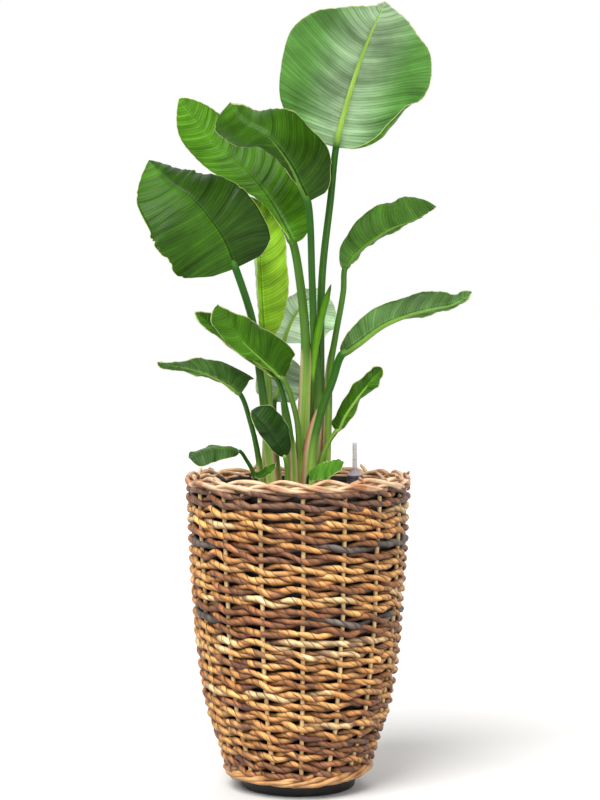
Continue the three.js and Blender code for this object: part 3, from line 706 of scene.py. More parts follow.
def stalk_skin(settings):
    """Leaf stalk: smooth waxy skin with fine lengthwise ribs, light green at the sheathing foot, dark green
    higher up, and a thin dry brown edge where the sheath ends."""
    material, tree = new_material("stalk_skin")
    uv = add_node(tree, "ShaderNodeUVMap", uv_map="UVMap")
    spot = add_node(tree, "ShaderNodeTexCoord")
    green = add_node(tree, "ShaderNodeAttribute", attribute_name="green")
    edge = add_node(tree, "ShaderNodeAttribute", attribute_name="edge")
    # Real ribs, about 1 mm apart, are too fine to show, so 26 are drawn round the stalk, 2 mm apart.
    stretch = add_node(tree, "ShaderNodeMapping", {0: uv, "Scale": (26, per_metre(200), 1)})
    ribs = add_node(tree, "ShaderNodeTexNoise", {"Vector": stretch, "Scale": 1, "Detail": 3})
    cloud = add_node(
        tree, "ShaderNodeTexNoise",
        {"Vector": spot.outputs["Object"], "Scale": per_metre(71.43), "Detail": 3},
    )
    base = add_node(
        tree, "ShaderNodeMix",
        {
            "Factor": green.outputs["Fac"], 6: tuple(settings.sheath_colour),
            7: tuple(settings.stalk_colour),
        },
        data_type="RGBA",
    )
    light = add_node(
        tree, "ShaderNodeMapRange",
        {"Value": ribs, "From Min": 0.3, "From Max": 0.7, "To Min": 0.8, "To Max": 1.2},
    )
    shade = add_node(
        tree, "ShaderNodeMapRange",
        {"Value": cloud, "From Min": 0.3, "From Max": 0.7, "To Min": 0.85, "To Max": 1.15},
    )
    both = add_node(tree, "ShaderNodeMath", {0: light, 1: shade}, operation="MULTIPLY")
    streaked = add_node(
        tree, "ShaderNodeVectorMath", {0: base.outputs[2], "Scale": both}, operation="SCALE"
    )
    dry = add_node(
        tree, "ShaderNodeValToRGB", {0: edge.outputs["Fac"]},
        stops=[
            (0.2, tuple(settings.pale_colour)), (0.55, tuple(settings.edge_colour)),
            (0.95, linear("#9A6242")),
        ],
    )
    share = add_node(
        tree, "ShaderNodeMapRange",
        {"Value": edge.outputs["Fac"], "From Min": 0.1, "From Max": 0.45, "To Max": 0.9},
    )
    edged = add_node(tree, "ShaderNodeMix", {"Factor": share, 6: streaked, 7: dry}, data_type="RGBA")
    bump = add_node(tree, "ShaderNodeBump", {"Strength": 0.25, "Distance": 0.8 * MM, "Height": ribs})
    return finish_material(
        material,
        {
            "Base Color": edged.outputs[2], "Roughness": 0.36, "Normal": bump, "IOR": 1.45,
            "Specular IOR Level": 0.25,
        },
    )


def crown_bark():
    """Old leaf bases of the root crown: dry brown fibre in rings."""
    material, tree = new_material("dry_leaf_bases")
    spot = add_node(tree, "ShaderNodeTexCoord")
    across, along = per_metre(6.25), per_metre(33.33)
    stretch = add_node(
        tree, "ShaderNodeMapping", {0: spot.outputs["Object"], "Scale": (across, across, along)}
    )
    fibre = add_node(tree, "ShaderNodeTexNoise", {"Vector": stretch, "Scale": 1, "Detail": 4})
    ramp = add_node(
        tree, "ShaderNodeValToRGB", {0: fibre},
        stops=[(0.3, linear("#3E2E1E")), (0.6, linear("#7A6238")), (0.8, linear("#9A8A54"))],
    )
    bump = add_node(tree, "ShaderNodeBump", {"Strength": 0.7, "Distance": 2 * MM, "Height": fibre})
    return finish_material(material, {"Base Color": ramp, "Roughness": 0.85, "Normal": bump})


# ---------------------------------------------------------------------------------------------------------
# Basket
# ---------------------------------------------------------------------------------------------------------


def ring_frame(path, turn):
    """The outward direction and the third direction at each point of a path that runs round the basket."""
    tangent = unit(np.roll(path, -1, axis=0) - np.roll(path, 1, axis=0))
    tangent[0] = tangent[-1] = unit(path[1] - path[-2])
    outward = np.stack([np.sin(turn), -np.cos(turn), np.zeros_like(turn)], axis=1)
    outward = unit(outward - tangent * (outward * tangent).sum(axis=1, keepdims=True))
    return outward, np.cross(tangent, outward)


def strand_tones(letter, others, turn, chance, spacing):
    """Colour along a strand: its own tone, with lengths of the other tones spliced in behind the stakes."""
    fade = 0.02  # the turn over which one tone goes over into the next
    colours = np.array([linear(BARK[letter])] * len(turn))
    for _ in range(chance.randint(5, 8)):
        start, length = chance.uniform(0, FULL_TURN), spacing * chance.choice((2, 2, 2, 4))
        ahead = (turn - start) % FULL_TURN
        blend = np.clip(ahead / fade, 0, 1) * np.clip((length - ahead) / fade, 0, 1)
        other = np.array(linear(BARK[chance.choice(others)]))
        colours = colours + (other - colours) * blend[:, None]
    bright = 1 + 0.16 * ripple(turn, chance, 3, 30)
    colours[:, :3] *= bright[:, None].clip(0.55, 1.5)
    colours[-1] = colours[0]
    return colours


class PLANT_OT_weave(bpy.types.Operator):
    """Weaves the basket's wall: in each row two twisted strands cross between the stakes."""

    bl_idname = "plant.weave"
    bl_label = "Weave"

    def execute(self, context):
        settings = context.scene.plant_basket
        material = bark_rope()
        rows = len(WEAVE_ROWS)
        bands = (("low", 0, 9), ("middle", 9, 19), ("high", 19, rows))
        for name, first, last in bands:
            bm = new_bmesh()
            layer = bm.verts.layers.float_color.new("bark")
            for row in range(first, last):
                for hand in (0, 1):
                    self.add_strand(bm, layer, settings, row, hand)
            bmesh.ops.recalc_face_normals(bm, faces=bm.faces)
            add_piece(context, bm, "weave_" + name, [material], ("basket_wall",))
        return {"FINISHED"}

    def add_strand(self, bm, layer, settings, row, hand):
        spacing = FULL_TURN / settings.stakes
        shared, chance = random.Random(row), random.Random(100 * row + hand)
        low, high = BORDER_HIGH[2] + 10 * MM, WALL_HIGH[2] - 5 * MM
        share = row / (len(WEAVE_ROWS) - 1)
        height = low + (high - low) * share
        step_length, twist_length = 4.6 * MM, 62 * MM
        steps = round(FULL_TURN * basket_radius(height) / step_length)
        turn = np.linspace(0, FULL_TURN, steps + 1)
        drift = chance.uniform(-0.2, 0.2)
        beat = settings.stakes / 2 * (turn - FIRST_STAKE) + hand * math.pi + drift
        beat = beat + 0.2 * ripple(turn, chance, 2, 9)
        lift = settings.lift * (1 + 0.5 * ripple(turn, chance, 2, 12))
        up = height + 1.9 * MM * ripple(turn, shared, 5, 24) - lift * np.sin(beat)
        up = up + 0.9 * MM * ripple(turn, chance, 3, 20)
        up = up + BASE_RISE * np.maximum(0, np.sin(turn)) ** 1.5 * max(0, 1 - 5 * share)
        sway = settings.sway * (1 + 0.07 * ripple(turn, chance, 2, 14))
        reach = basket_radius(up) - STAKE_DEPTH + sway * np.cos(beat)
        path = np.stack([reach * np.sin(turn), -reach * np.cos(turn), up], axis=1)
        path[-1] = path[0]
        outward, upward = ring_frame(path, turn)
        swollen = 0.12 * ripple(turn, chance, 5, 40) + 0.06 * chance.uniform(-1, 1)
        radius = settings.strand_radius * (1 + swollen)
        radius[-1] = radius[0]
        twist = round(FULL_TURN * basket_radius(height) / twist_length) * turn

        def section(angle, k):
            bulge = 1 + 0.055 * np.cos(2 * angle - 2 * twist[k]) + 0.03 * np.cos(3 * angle - 3 * twist[k])
            return np.cos(angle) * bulge, np.sin(angle) * bulge

        letters = WEAVE_ROWS[row]
        tones = strand_tones(letters[hand], letters, turn, chance, spacing)

        def shaded_tones(angle, k):
            """Painted light and shade: darker the deeper a point lies in the weave, as where the strand
            passes behind a stake, lighter on its upper side and darker on its lower side, with warmer browns
            where it is darker.
            """
            out = np.cos(beat[k]) * sway[k] + np.cos(angle) * radius[k]
            out = out / (settings.sway + settings.strand_radius)
            lit_share = 0.1 + 0.9 * np.clip(0.48 + 0.75 * out, 0, 1) ** 1.6
            lit_share = lit_share * (1.28 - 1.08 * np.clip(0.5 + np.sin(angle), 0, 1.5) / 1.5)
            return tones[k] * np.stack([lit_share, lit_share**1.15, lit_share**1.35, np.ones_like(lit_share)], axis=1)

        across, over = outward * radius[:, None], upward * radius[:, None]
        start = chance.uniform(0, 5)
        tube(bm, path, across, over, 14, section, True, [shaded_tones], [layer], start)


def rod(bm, points, radius, tip=0.55):
    """A bent rod through a few points, with rounded ends. tip is the share of its radius at the ends."""
    line = GrowthLine(points)
    step_length, sides = 6 * MM, 10
    count = max(8, round(line.length / step_length))
    share = np.linspace(0, 1, count + 1)
    path = line.at(share)
    forward = line.tangent(share)
    first = unit(np.cross(forward, [0.12, 0.05, 1.0]))
    second = np.cross(forward, first)
    ends = np.minimum(share, 1 - share) * line.length / radius
    size = radius * np.where(ends < 1, tip + (1 - tip) * np.sqrt(ends.clip(0, 1)), 1)
    tube(bm, path, first * size[:, None], second * size[:, None], sides)


def round_point(turn, reach, height):
    return (reach * math.sin(turn), -reach * math.cos(turn), height)


class PLANT_OT_stakes(bpy.types.Operator):
    """Sets the upright stakes that the strands are woven round."""

    bl_idname = "plant.stakes"
    bl_label = "Stakes"

    def execute(self, context):
        settings = context.scene.plant_basket
        bm = new_bmesh()
        for stake in range(settings.stakes):
            chance = random.Random(stake)
            turn = FIRST_STAKE + FULL_TURN * stake / settings.stakes
            points = []
            for height in np.linspace(BORDER_LOW[2] + 4 * MM, RIM_LOW[2] + 2 * MM, 14):
                reach = basket_radius(height) - STAKE_DEPTH + chance.uniform(-0.6, 0.6) * MM
                points.append(round_point(turn + chance.uniform(-0.006, 0.006), reach, height))
            rod(bm, points, settings.stake_radius)
        bmesh.ops.recalc_face_normals(bm, faces=bm.faces)
        cane = willow("dry_cane", settings.stake_colour, "#B08E58")
        add_piece(context, bm, "stakes", [cane], ())
        return {"FINISHED"}


class PLANT_OT_borders(bpy.types.Operator):
    """Turns the rods down into the rolled border of the rim and the border at the foot of the basket."""

    bl_idname = "plant.borders"
    bl_label = "Borders"

    def execute(self, context):
        settings = context.scene.plant_basket
        peeled = willow("peeled_willow", settings.rod_colour, "#A86C42", 0.25)
        cane = willow("golden_cane", settings.cane_colour, "#94602E", 0.4)
        bm = new_bmesh()
        reach = basket_radius(RIM_LOW[2]) - STAKE_DEPTH
        rim_path = (
            (0.0, -1, -16), (0.02, 0, 2), (0.25, 1, 13), (0.55, 3, 17.5), (0.95, 7, 14), (1.35, 9, 6),
            (1.8, 6, 0.5), (2.15, -3, 0), (2.4, -8, 1),
        )
        self.add_rods(bm, settings, rim_path, reach, RIM_LOW[2], settings.rod_radius, 40)
        under_path = (
            (0.0, -3, -14), (0.1, 2, -2), (0.5, 8, 9), (0.9, 9, 8), (1.3, 7, 3), (1.7, 1, 0), (2.0, -5, -1),
        )
        self.add_rods(bm, settings, under_path, reach, RIM_LOW[2], settings.rod_radius * 0.9, 80, 0.5)
        inner = reach - 9 * MM, RIM_LOW[2] + 2 * MM
        self.add_rods(bm, settings, under_path, *inner, settings.rod_radius * 0.9, 200, 0.2)
        self.add_cut_ends(bm, settings, reach)
        bmesh.ops.recalc_face_normals(bm, faces=bm.faces)
        add_piece(context, bm, "rim_border", [peeled], ("basket_rim",))

        bm = new_bmesh()
        reach = basket_radius(BORDER_HIGH[2]) - STAKE_DEPTH + 4 * MM
        foot_path = (
            (0.0, -1, 22), (-0.1, 2, 14), (-0.4, 6, 10), (-0.9, 8, 7), (-1.4, 7, 3.5), (-1.9, 4, 1),
            (-2.4, -1, 1),
        )

        def tilt(turn):
            right, left = max(0.0, math.sin(turn)), max(0.0, -math.sin(turn))
            return 4 * MM + BASE_RISE * right**1.5 + 3 * MM * left

        for number, (inward, up, start) in enumerate(((0, 0, 0.0), (2, 5, 0.5))):
            radius = settings.rod_radius * (1 - 0.1 * number)
            level, place = BORDER_LOW[2] + up * MM, reach - inward * MM
            self.add_rods(bm, settings, foot_path, place, level, radius, 120 + 40 * number, start, tilt)
        bmesh.ops.recalc_face_normals(bm, faces=bm.faces)
        add_piece(context, bm, "base_border", [cane], ("basket_base_border",))
        return {"FINISHED"}

    def add_rods(self, bm, settings, steps, reach, level, radius, seed, start=0.0, tilt=lambda turn: 0.0):
        """One rod for each stake. steps are (stake spacings round the basket, millimetres out, millimetres
        up) from the top of the stake, and tilt(turn) lifts the border on one side."""
        spacing = FULL_TURN / settings.stakes
        for stake in range(settings.stakes):
            chance = random.Random(seed + stake)
            turn = FIRST_STAKE + spacing * (stake + start)
            stretch = chance.uniform(0.9, 1.12)
            points = []
            for ahead, out, up in steps:
                out, up = out + chance.uniform(-1.2, 1.2), up + chance.uniform(-1.8, 1.8)
                place = turn + ahead * stretch * spacing
                points.append(round_point(place, reach + out * MM, level + up * MM + tilt(place)))
            rod(bm, points, radius * chance.uniform(0.85, 1.15))

    def add_cut_ends(self, bm, settings, reach):
        """The cut ends of rods that stand up from the border, most of them at the right and the back."""
        chance = random.Random(7)
        for turn in (38, 52, 68, 79, 96, 118, 140, 163, 185, 207, 232, 255, 292, 318):
            turn = math.radians(turn + chance.uniform(-4, 4))
            lean = chance.choice((-1, 1)) * chance.uniform(0.05, 0.12)
            out, up = chance.uniform(5, 9) * MM, chance.uniform(-1, 6) * MM
            points = [
                round_point(turn, reach + 1 * MM, RIM_LOW[2] + 2 * MM),
                round_point(turn + 0.4 * lean, reach + 4 * MM, RIM_HIGH[2] - 4 * MM),
                round_point(turn + lean, reach + out, RIM_HIGH[2] + up),
            ]
            rod(bm, points, settings.rod_radius * chance.uniform(0.7, 0.9), tip=0.8)


# ---------------------------------------------------------------------------------------------------------
# Pot, granules and gauge
# ---------------------------------------------------------------------------------------------------------


class PLANT_OT_liner(bpy.types.Operator):
    """Turns the liner pot: a rounded foot, a wall that follows the basket and a rolled lip."""

    bl_idname = "plant.liner"
    bl_label = "Liner pot"

    def execute(self, context):
        settings = context.scene.plant_pot
        wall, corner, flat = 4 * MM, 8 * MM, 100 * MM
        quarter = np.linspace(0, math.pi / 2, 9)
        outside = [(flat + corner * math.sin(t), corner * (1 - math.cos(t))) for t in quarter]
        for height in (34, 48, 62, 80, 100, 125, 150, 190, 230, 280, 330, 385, 440, 510, 568):
            outside.append((basket_radius(height * MM) - LINER_DEPTH, height * MM))
        top, brim = POT_HIGH[2], outside[-1][0]
        inside = [(radius - wall, max(height, wall)) for radius, height in reversed(outside)]
        lip = [(brim + 0.3 * MM, top - 3 * MM), (brim - 0.6 * MM, top), (brim - wall + 0.6 * MM, top)]
        profile = [(0, 0), (flat - 8 * MM, 0), (flat - 6 * MM, 0.6 * MM), (flat - 4 * MM, 0)]
        bm = new_bmesh()
        turned(bm, profile + outside + lip + inside + [(0, wall)], 128)
        black = moulded_plastic("black_polypropylene", settings.plastic_colour, 0.3)
        add_piece(context, bm, "liner", [black], ("liner_pot",))
        return {"FINISHED"}


class PLANT_OT_granules(bpy.types.Operator):
    """Fills the pot with mineral granules, heaped a little round the stalks."""

    bl_idname = "plant.granules"
    bl_label = "Granules"

    def execute(self, context):
        settings = context.scene.plant_pot
        chance = random.Random(3)
        edge = basket_radius(FILL_HIGH) - FILL_DEPTH
        bm = new_bmesh()
        tone = bm.verts.layers.float.new("tone")
        bed = [
            (0, FILL_HIGH - 30 * MM), (edge, FILL_HIGH - 30 * MM), (edge, FILL_HIGH - 3 * MM),
            (0.6 * edge, FILL_HIGH), (0.35 * edge, FILL_HIGH + 4 * MM), (0, FILL_HIGH + 6 * MM),
        ]
        turned(bm, bed, 48)
        # The bed under the grains is dark grey: painted shade in the gaps between the grains.
        for vert in bm.verts:
            vert[tone] = 0.15
        spacing = settings.grain_spacing
        row_spacing = spacing * 0.866  # the rows of a triangular grid
        places = range(-34, 35)  # enough of them to reach the wall
        for row in places:
            for column in places:
                x = spacing * (column + 0.5 * (row % 2)) + chance.uniform(-0.3, 0.3) * spacing
                y = row_spacing * row + chance.uniform(-0.3, 0.3) * spacing
                reach = math.hypot(x, y)
                if reach < edge - 0.4 * spacing:
                    self.add_grain(bm, tone, chance, (x, y, reach / edge), spacing)
        add_piece(context, bm, "granules", [mineral_grains()], ("substrate",))
        return {"FINISHED"}

    def add_grain(self, bm, tone, chance, place, spacing):
        x, y, share = place
        heap = 9 * MM * max(0, 1 - share / 0.62) ** 0.8
        level = FILL_HIGH + heap + chance.uniform(-1.4, 1.6) * MM
        size = spacing * chance.uniform(0.42, 0.72)
        grain = bmesh.ops.create_icosphere(bm, subdivisions=1, radius=size)["verts"]
        shade = chance.choice((0.1, 0.3, 0.45, 0.6, 0.7, 0.8, 0.9, 1.0))
        squash = [chance.uniform(0.75, 1.15) for _ in range(3)]
        middle = (x, y, level)
        for vert in grain:
            parts = zip(vert.co, squash, middle)
            vert.co = [c * s * chance.uniform(0.85, 1.15) + o for c, s, o in parts]
            vert[tone] = shade


class PLANT_OT_gauge(bpy.types.Operator):
    """Turns the water-level gauge: its dark tube, grey shouldered head and clear sight tube with marks."""

    bl_idname = "plant.gauge"
    bl_label = "Water-level gauge"

    def execute(self, context):
        settings = context.scene.plant_pot
        dark = moulded_plastic("dark_grey_polystyrene", linear("#42383F"), 0.32)
        grey = moulded_plastic("light_grey_polystyrene", settings.gauge_colour, 0.3)
        self.add_body(context, dark)
        self.add_shoulder(context, grey)
        self.add_sight_tube(context)
        self.add_marks(context)
        self.finish_inside(dark)
        return {"FINISHED"}

    def add_body(self, context, material):
        """The outer tube, with two shallow grooves below its top."""
        radius, bore, top = TUBE_RADIUS, 12.4 * MM, TUBE_HIGH[2]
        deep, edge, bottom = 0.7 * MM, 0.9 * MM, 0.5 * MM
        profile = [(bore, TUBE_LOW[2]), (radius, TUBE_LOW[2])]
        for down in (9.5, 6.0):
            height = top - down * MM
            profile += [(radius, height - edge), (radius - deep, height - bottom)]
            profile += [(radius - deep, height + bottom), (radius, height + edge)]
        profile += [(radius, top - 0.6 * MM), (radius - 0.6 * MM, top), (bore, top), profile[0]]
        bm = new_bmesh()
        turned(bm, profile, 64, GAUGE_X, GAUGE_Y)
        add_piece(context, bm, "gauge_body", [material], ("gauge_tube",))

    def add_shoulder(self, context, material):
        """The head: a plug in the outer tube, and a shoulder that narrows to a collar."""
        radius, seat, plug, hole = TUBE_RADIUS, TUBE_HIGH[2] + 0.3 * MM, 12.0 * MM, 3.2 * MM
        profile = [(hole, HEAD_LOW[2]), (plug, HEAD_LOW[2]), (plug, seat), (radius - 0.5 * MM, seat)]
        profile += [(radius, seat + 0.5 * MM), (radius, seat + 1.4 * MM)]
        for share in np.linspace(0, 1, 9):
            place = radius - 0.5 * MM + (6.4 * MM - radius) * share**0.82
            profile.append((place, seat + (2.0 + 8.4 * share) * MM))
        profile += [(6.0 * MM, HEAD_HIGH[2]), (hole, HEAD_HIGH[2]), profile[0]]
        bm = new_bmesh()
        turned(bm, profile, 64, GAUGE_X, GAUGE_Y)
        add_piece(context, bm, "gauge_shoulder", [material], ("gauge_head",))

    def add_sight_tube(self, context):
        """The sight tube, closed at its top."""
        outer, inner = SIGHT_RADIUS, 3.8 * MM
        low, high, ceiling = SIGHT_LOW[2], SIGHT_HIGH[2], SIGHT_HIGH[2] - 2 * MM
        profile = [(inner, low), (outer, low), (outer, high - 1.2 * MM), (outer - 0.5 * MM, high - 0.3 * MM)]
        profile += [(outer - 1.4 * MM, high), (0, high), (0, ceiling), (inner, ceiling), (inner, low)]
        bm = new_bmesh()
        turned(bm, profile, 48, GAUGE_X, GAUGE_Y)
        add_piece(context, bm, "gauge_sight", [clear_plastic()], ("gauge_sight_tube",))

    def add_marks(self, context):
        """Two printed bars on the sight tube, the most and the least water, above the head."""
        paint = moulded_plastic("yellow_print", linear("#E2C22E"), 0.5)
        inside, outside, half = SIGHT_RADIUS + 0.05 * MM, SIGHT_RADIUS + 0.25 * MM, 1.1 * MM
        for name, up, reach in (("upper", 40, 0.45), ("lower", 21, 0.5)):
            bm = new_bmesh()
            mark = [(inside, -half), (outside, -half), (outside, half), (inside, half), (inside, -half)]
            turned(bm, [(r, z + HEAD_HIGH[2] + up * MM) for r, z in mark], 48, GAUGE_X, GAUGE_Y)
            self.keep_front(bm, SIGHT_RADIUS * reach)
            add_piece(context, bm, "gauge_mark_" + name, [paint], ())

    def keep_front(self, bm, half):
        """Cuts a printed ring down to the short bar on the side that faces the front."""
        left, right, back = (GAUGE_X - half, 0, 0), (GAUGE_X + half, 0, 0), (0, GAUGE_Y, 0)
        for place, outward in ((left, (-1, 0, 0)), (right, (1, 0, 0)), (back, (0, 1, 0))):
            cut = bmesh.ops.bisect_plane(
                bm, geom=bm.verts[:] + bm.edges[:] + bm.faces[:], plane_co=place, plane_no=outward,
                clear_outer=True,
            )["geom_cut"]
            edges = [part for part in cut if isinstance(part, bmesh.types.BMEdge)]
            bmesh.ops.holes_fill(bm, edges=edges, sides=0)
        bmesh.ops.recalc_face_normals(bm, faces=bm.faces)

    def finish_inside(self, dark):
        """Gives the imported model's own stopper, float and pointer their finishes."""
        foam = moulded_plastic("expanded_polystyrene", linear("#F0EFEA"), 0.7, 0.6 * MM)
        # The pointer's painted glow keeps it bright inside the sight tube, without a lamp.
        red = moulded_plastic("red_polystyrene", linear("#C8200E"), 0.35, painted_glow=0.9)
        for node, material in (("gauge_stopper", dark), ("gauge_float", foam), ("gauge_pointer", red)):
            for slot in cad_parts[node].material_slots:
                slot.material = material


# ---------------------------------------------------------------------------------------------------------
# Leaves
# ---------------------------------------------------------------------------------------------------------


class GrowthLine:
    """A smooth line through points in metres, a centripetal Catmull-Rom spline. share runs from 0 at the
    first point to 1 at the last."""

    def __init__(self, points):
        given = np.array(points, float)
        self.last = len(given) - 1
        self.points = np.vstack([2 * given[0] - given[1], given, 2 * given[-1] - given[-2]])
        walk = self.at(np.linspace(0, 1, 200))
        self.length = np.linalg.norm(np.diff(walk, axis=0), axis=1).sum()

    def at(self, share):
        place = np.clip(np.asarray(share, float), 0, 1) * self.last
        first = np.minimum(place.astype(int), self.last - 1)
        w = (place - first)[..., None]
        p0, p1, p2, p3 = (self.points[first + i] for i in range(4))
        d0, d1, d2 = (
            np.sqrt(np.linalg.norm(b - a, axis=-1, keepdims=True)) for a, b in ((p0, p1), (p1, p2), (p2, p3))
        )
        m1 = ((p1 - p0) / d0 - (p2 - p0) / (d0 + d1) + (p2 - p1) / d1) * d1
        m2 = ((p2 - p1) / d1 - (p3 - p1) / (d1 + d2) + (p3 - p2) / d2) * d1
        bend = -3 * p1 + 3 * p2 - 2 * m1 - m2
        return p1 + m1 * w + bend * w**2 + (2 * p1 - 2 * p2 + m1 + m2) * w**3

    def tangent(self, share):
        share = np.asarray(share, float)
        return unit(self.at(share + 1e-4) - self.at(share - 1e-4))


# What most leaves have in common.
USUAL_LEAF = {"heel": 0.1, "swell": (0.5, 0.5), "sweep": 0.4, "bloom": 0, "torn": 0}
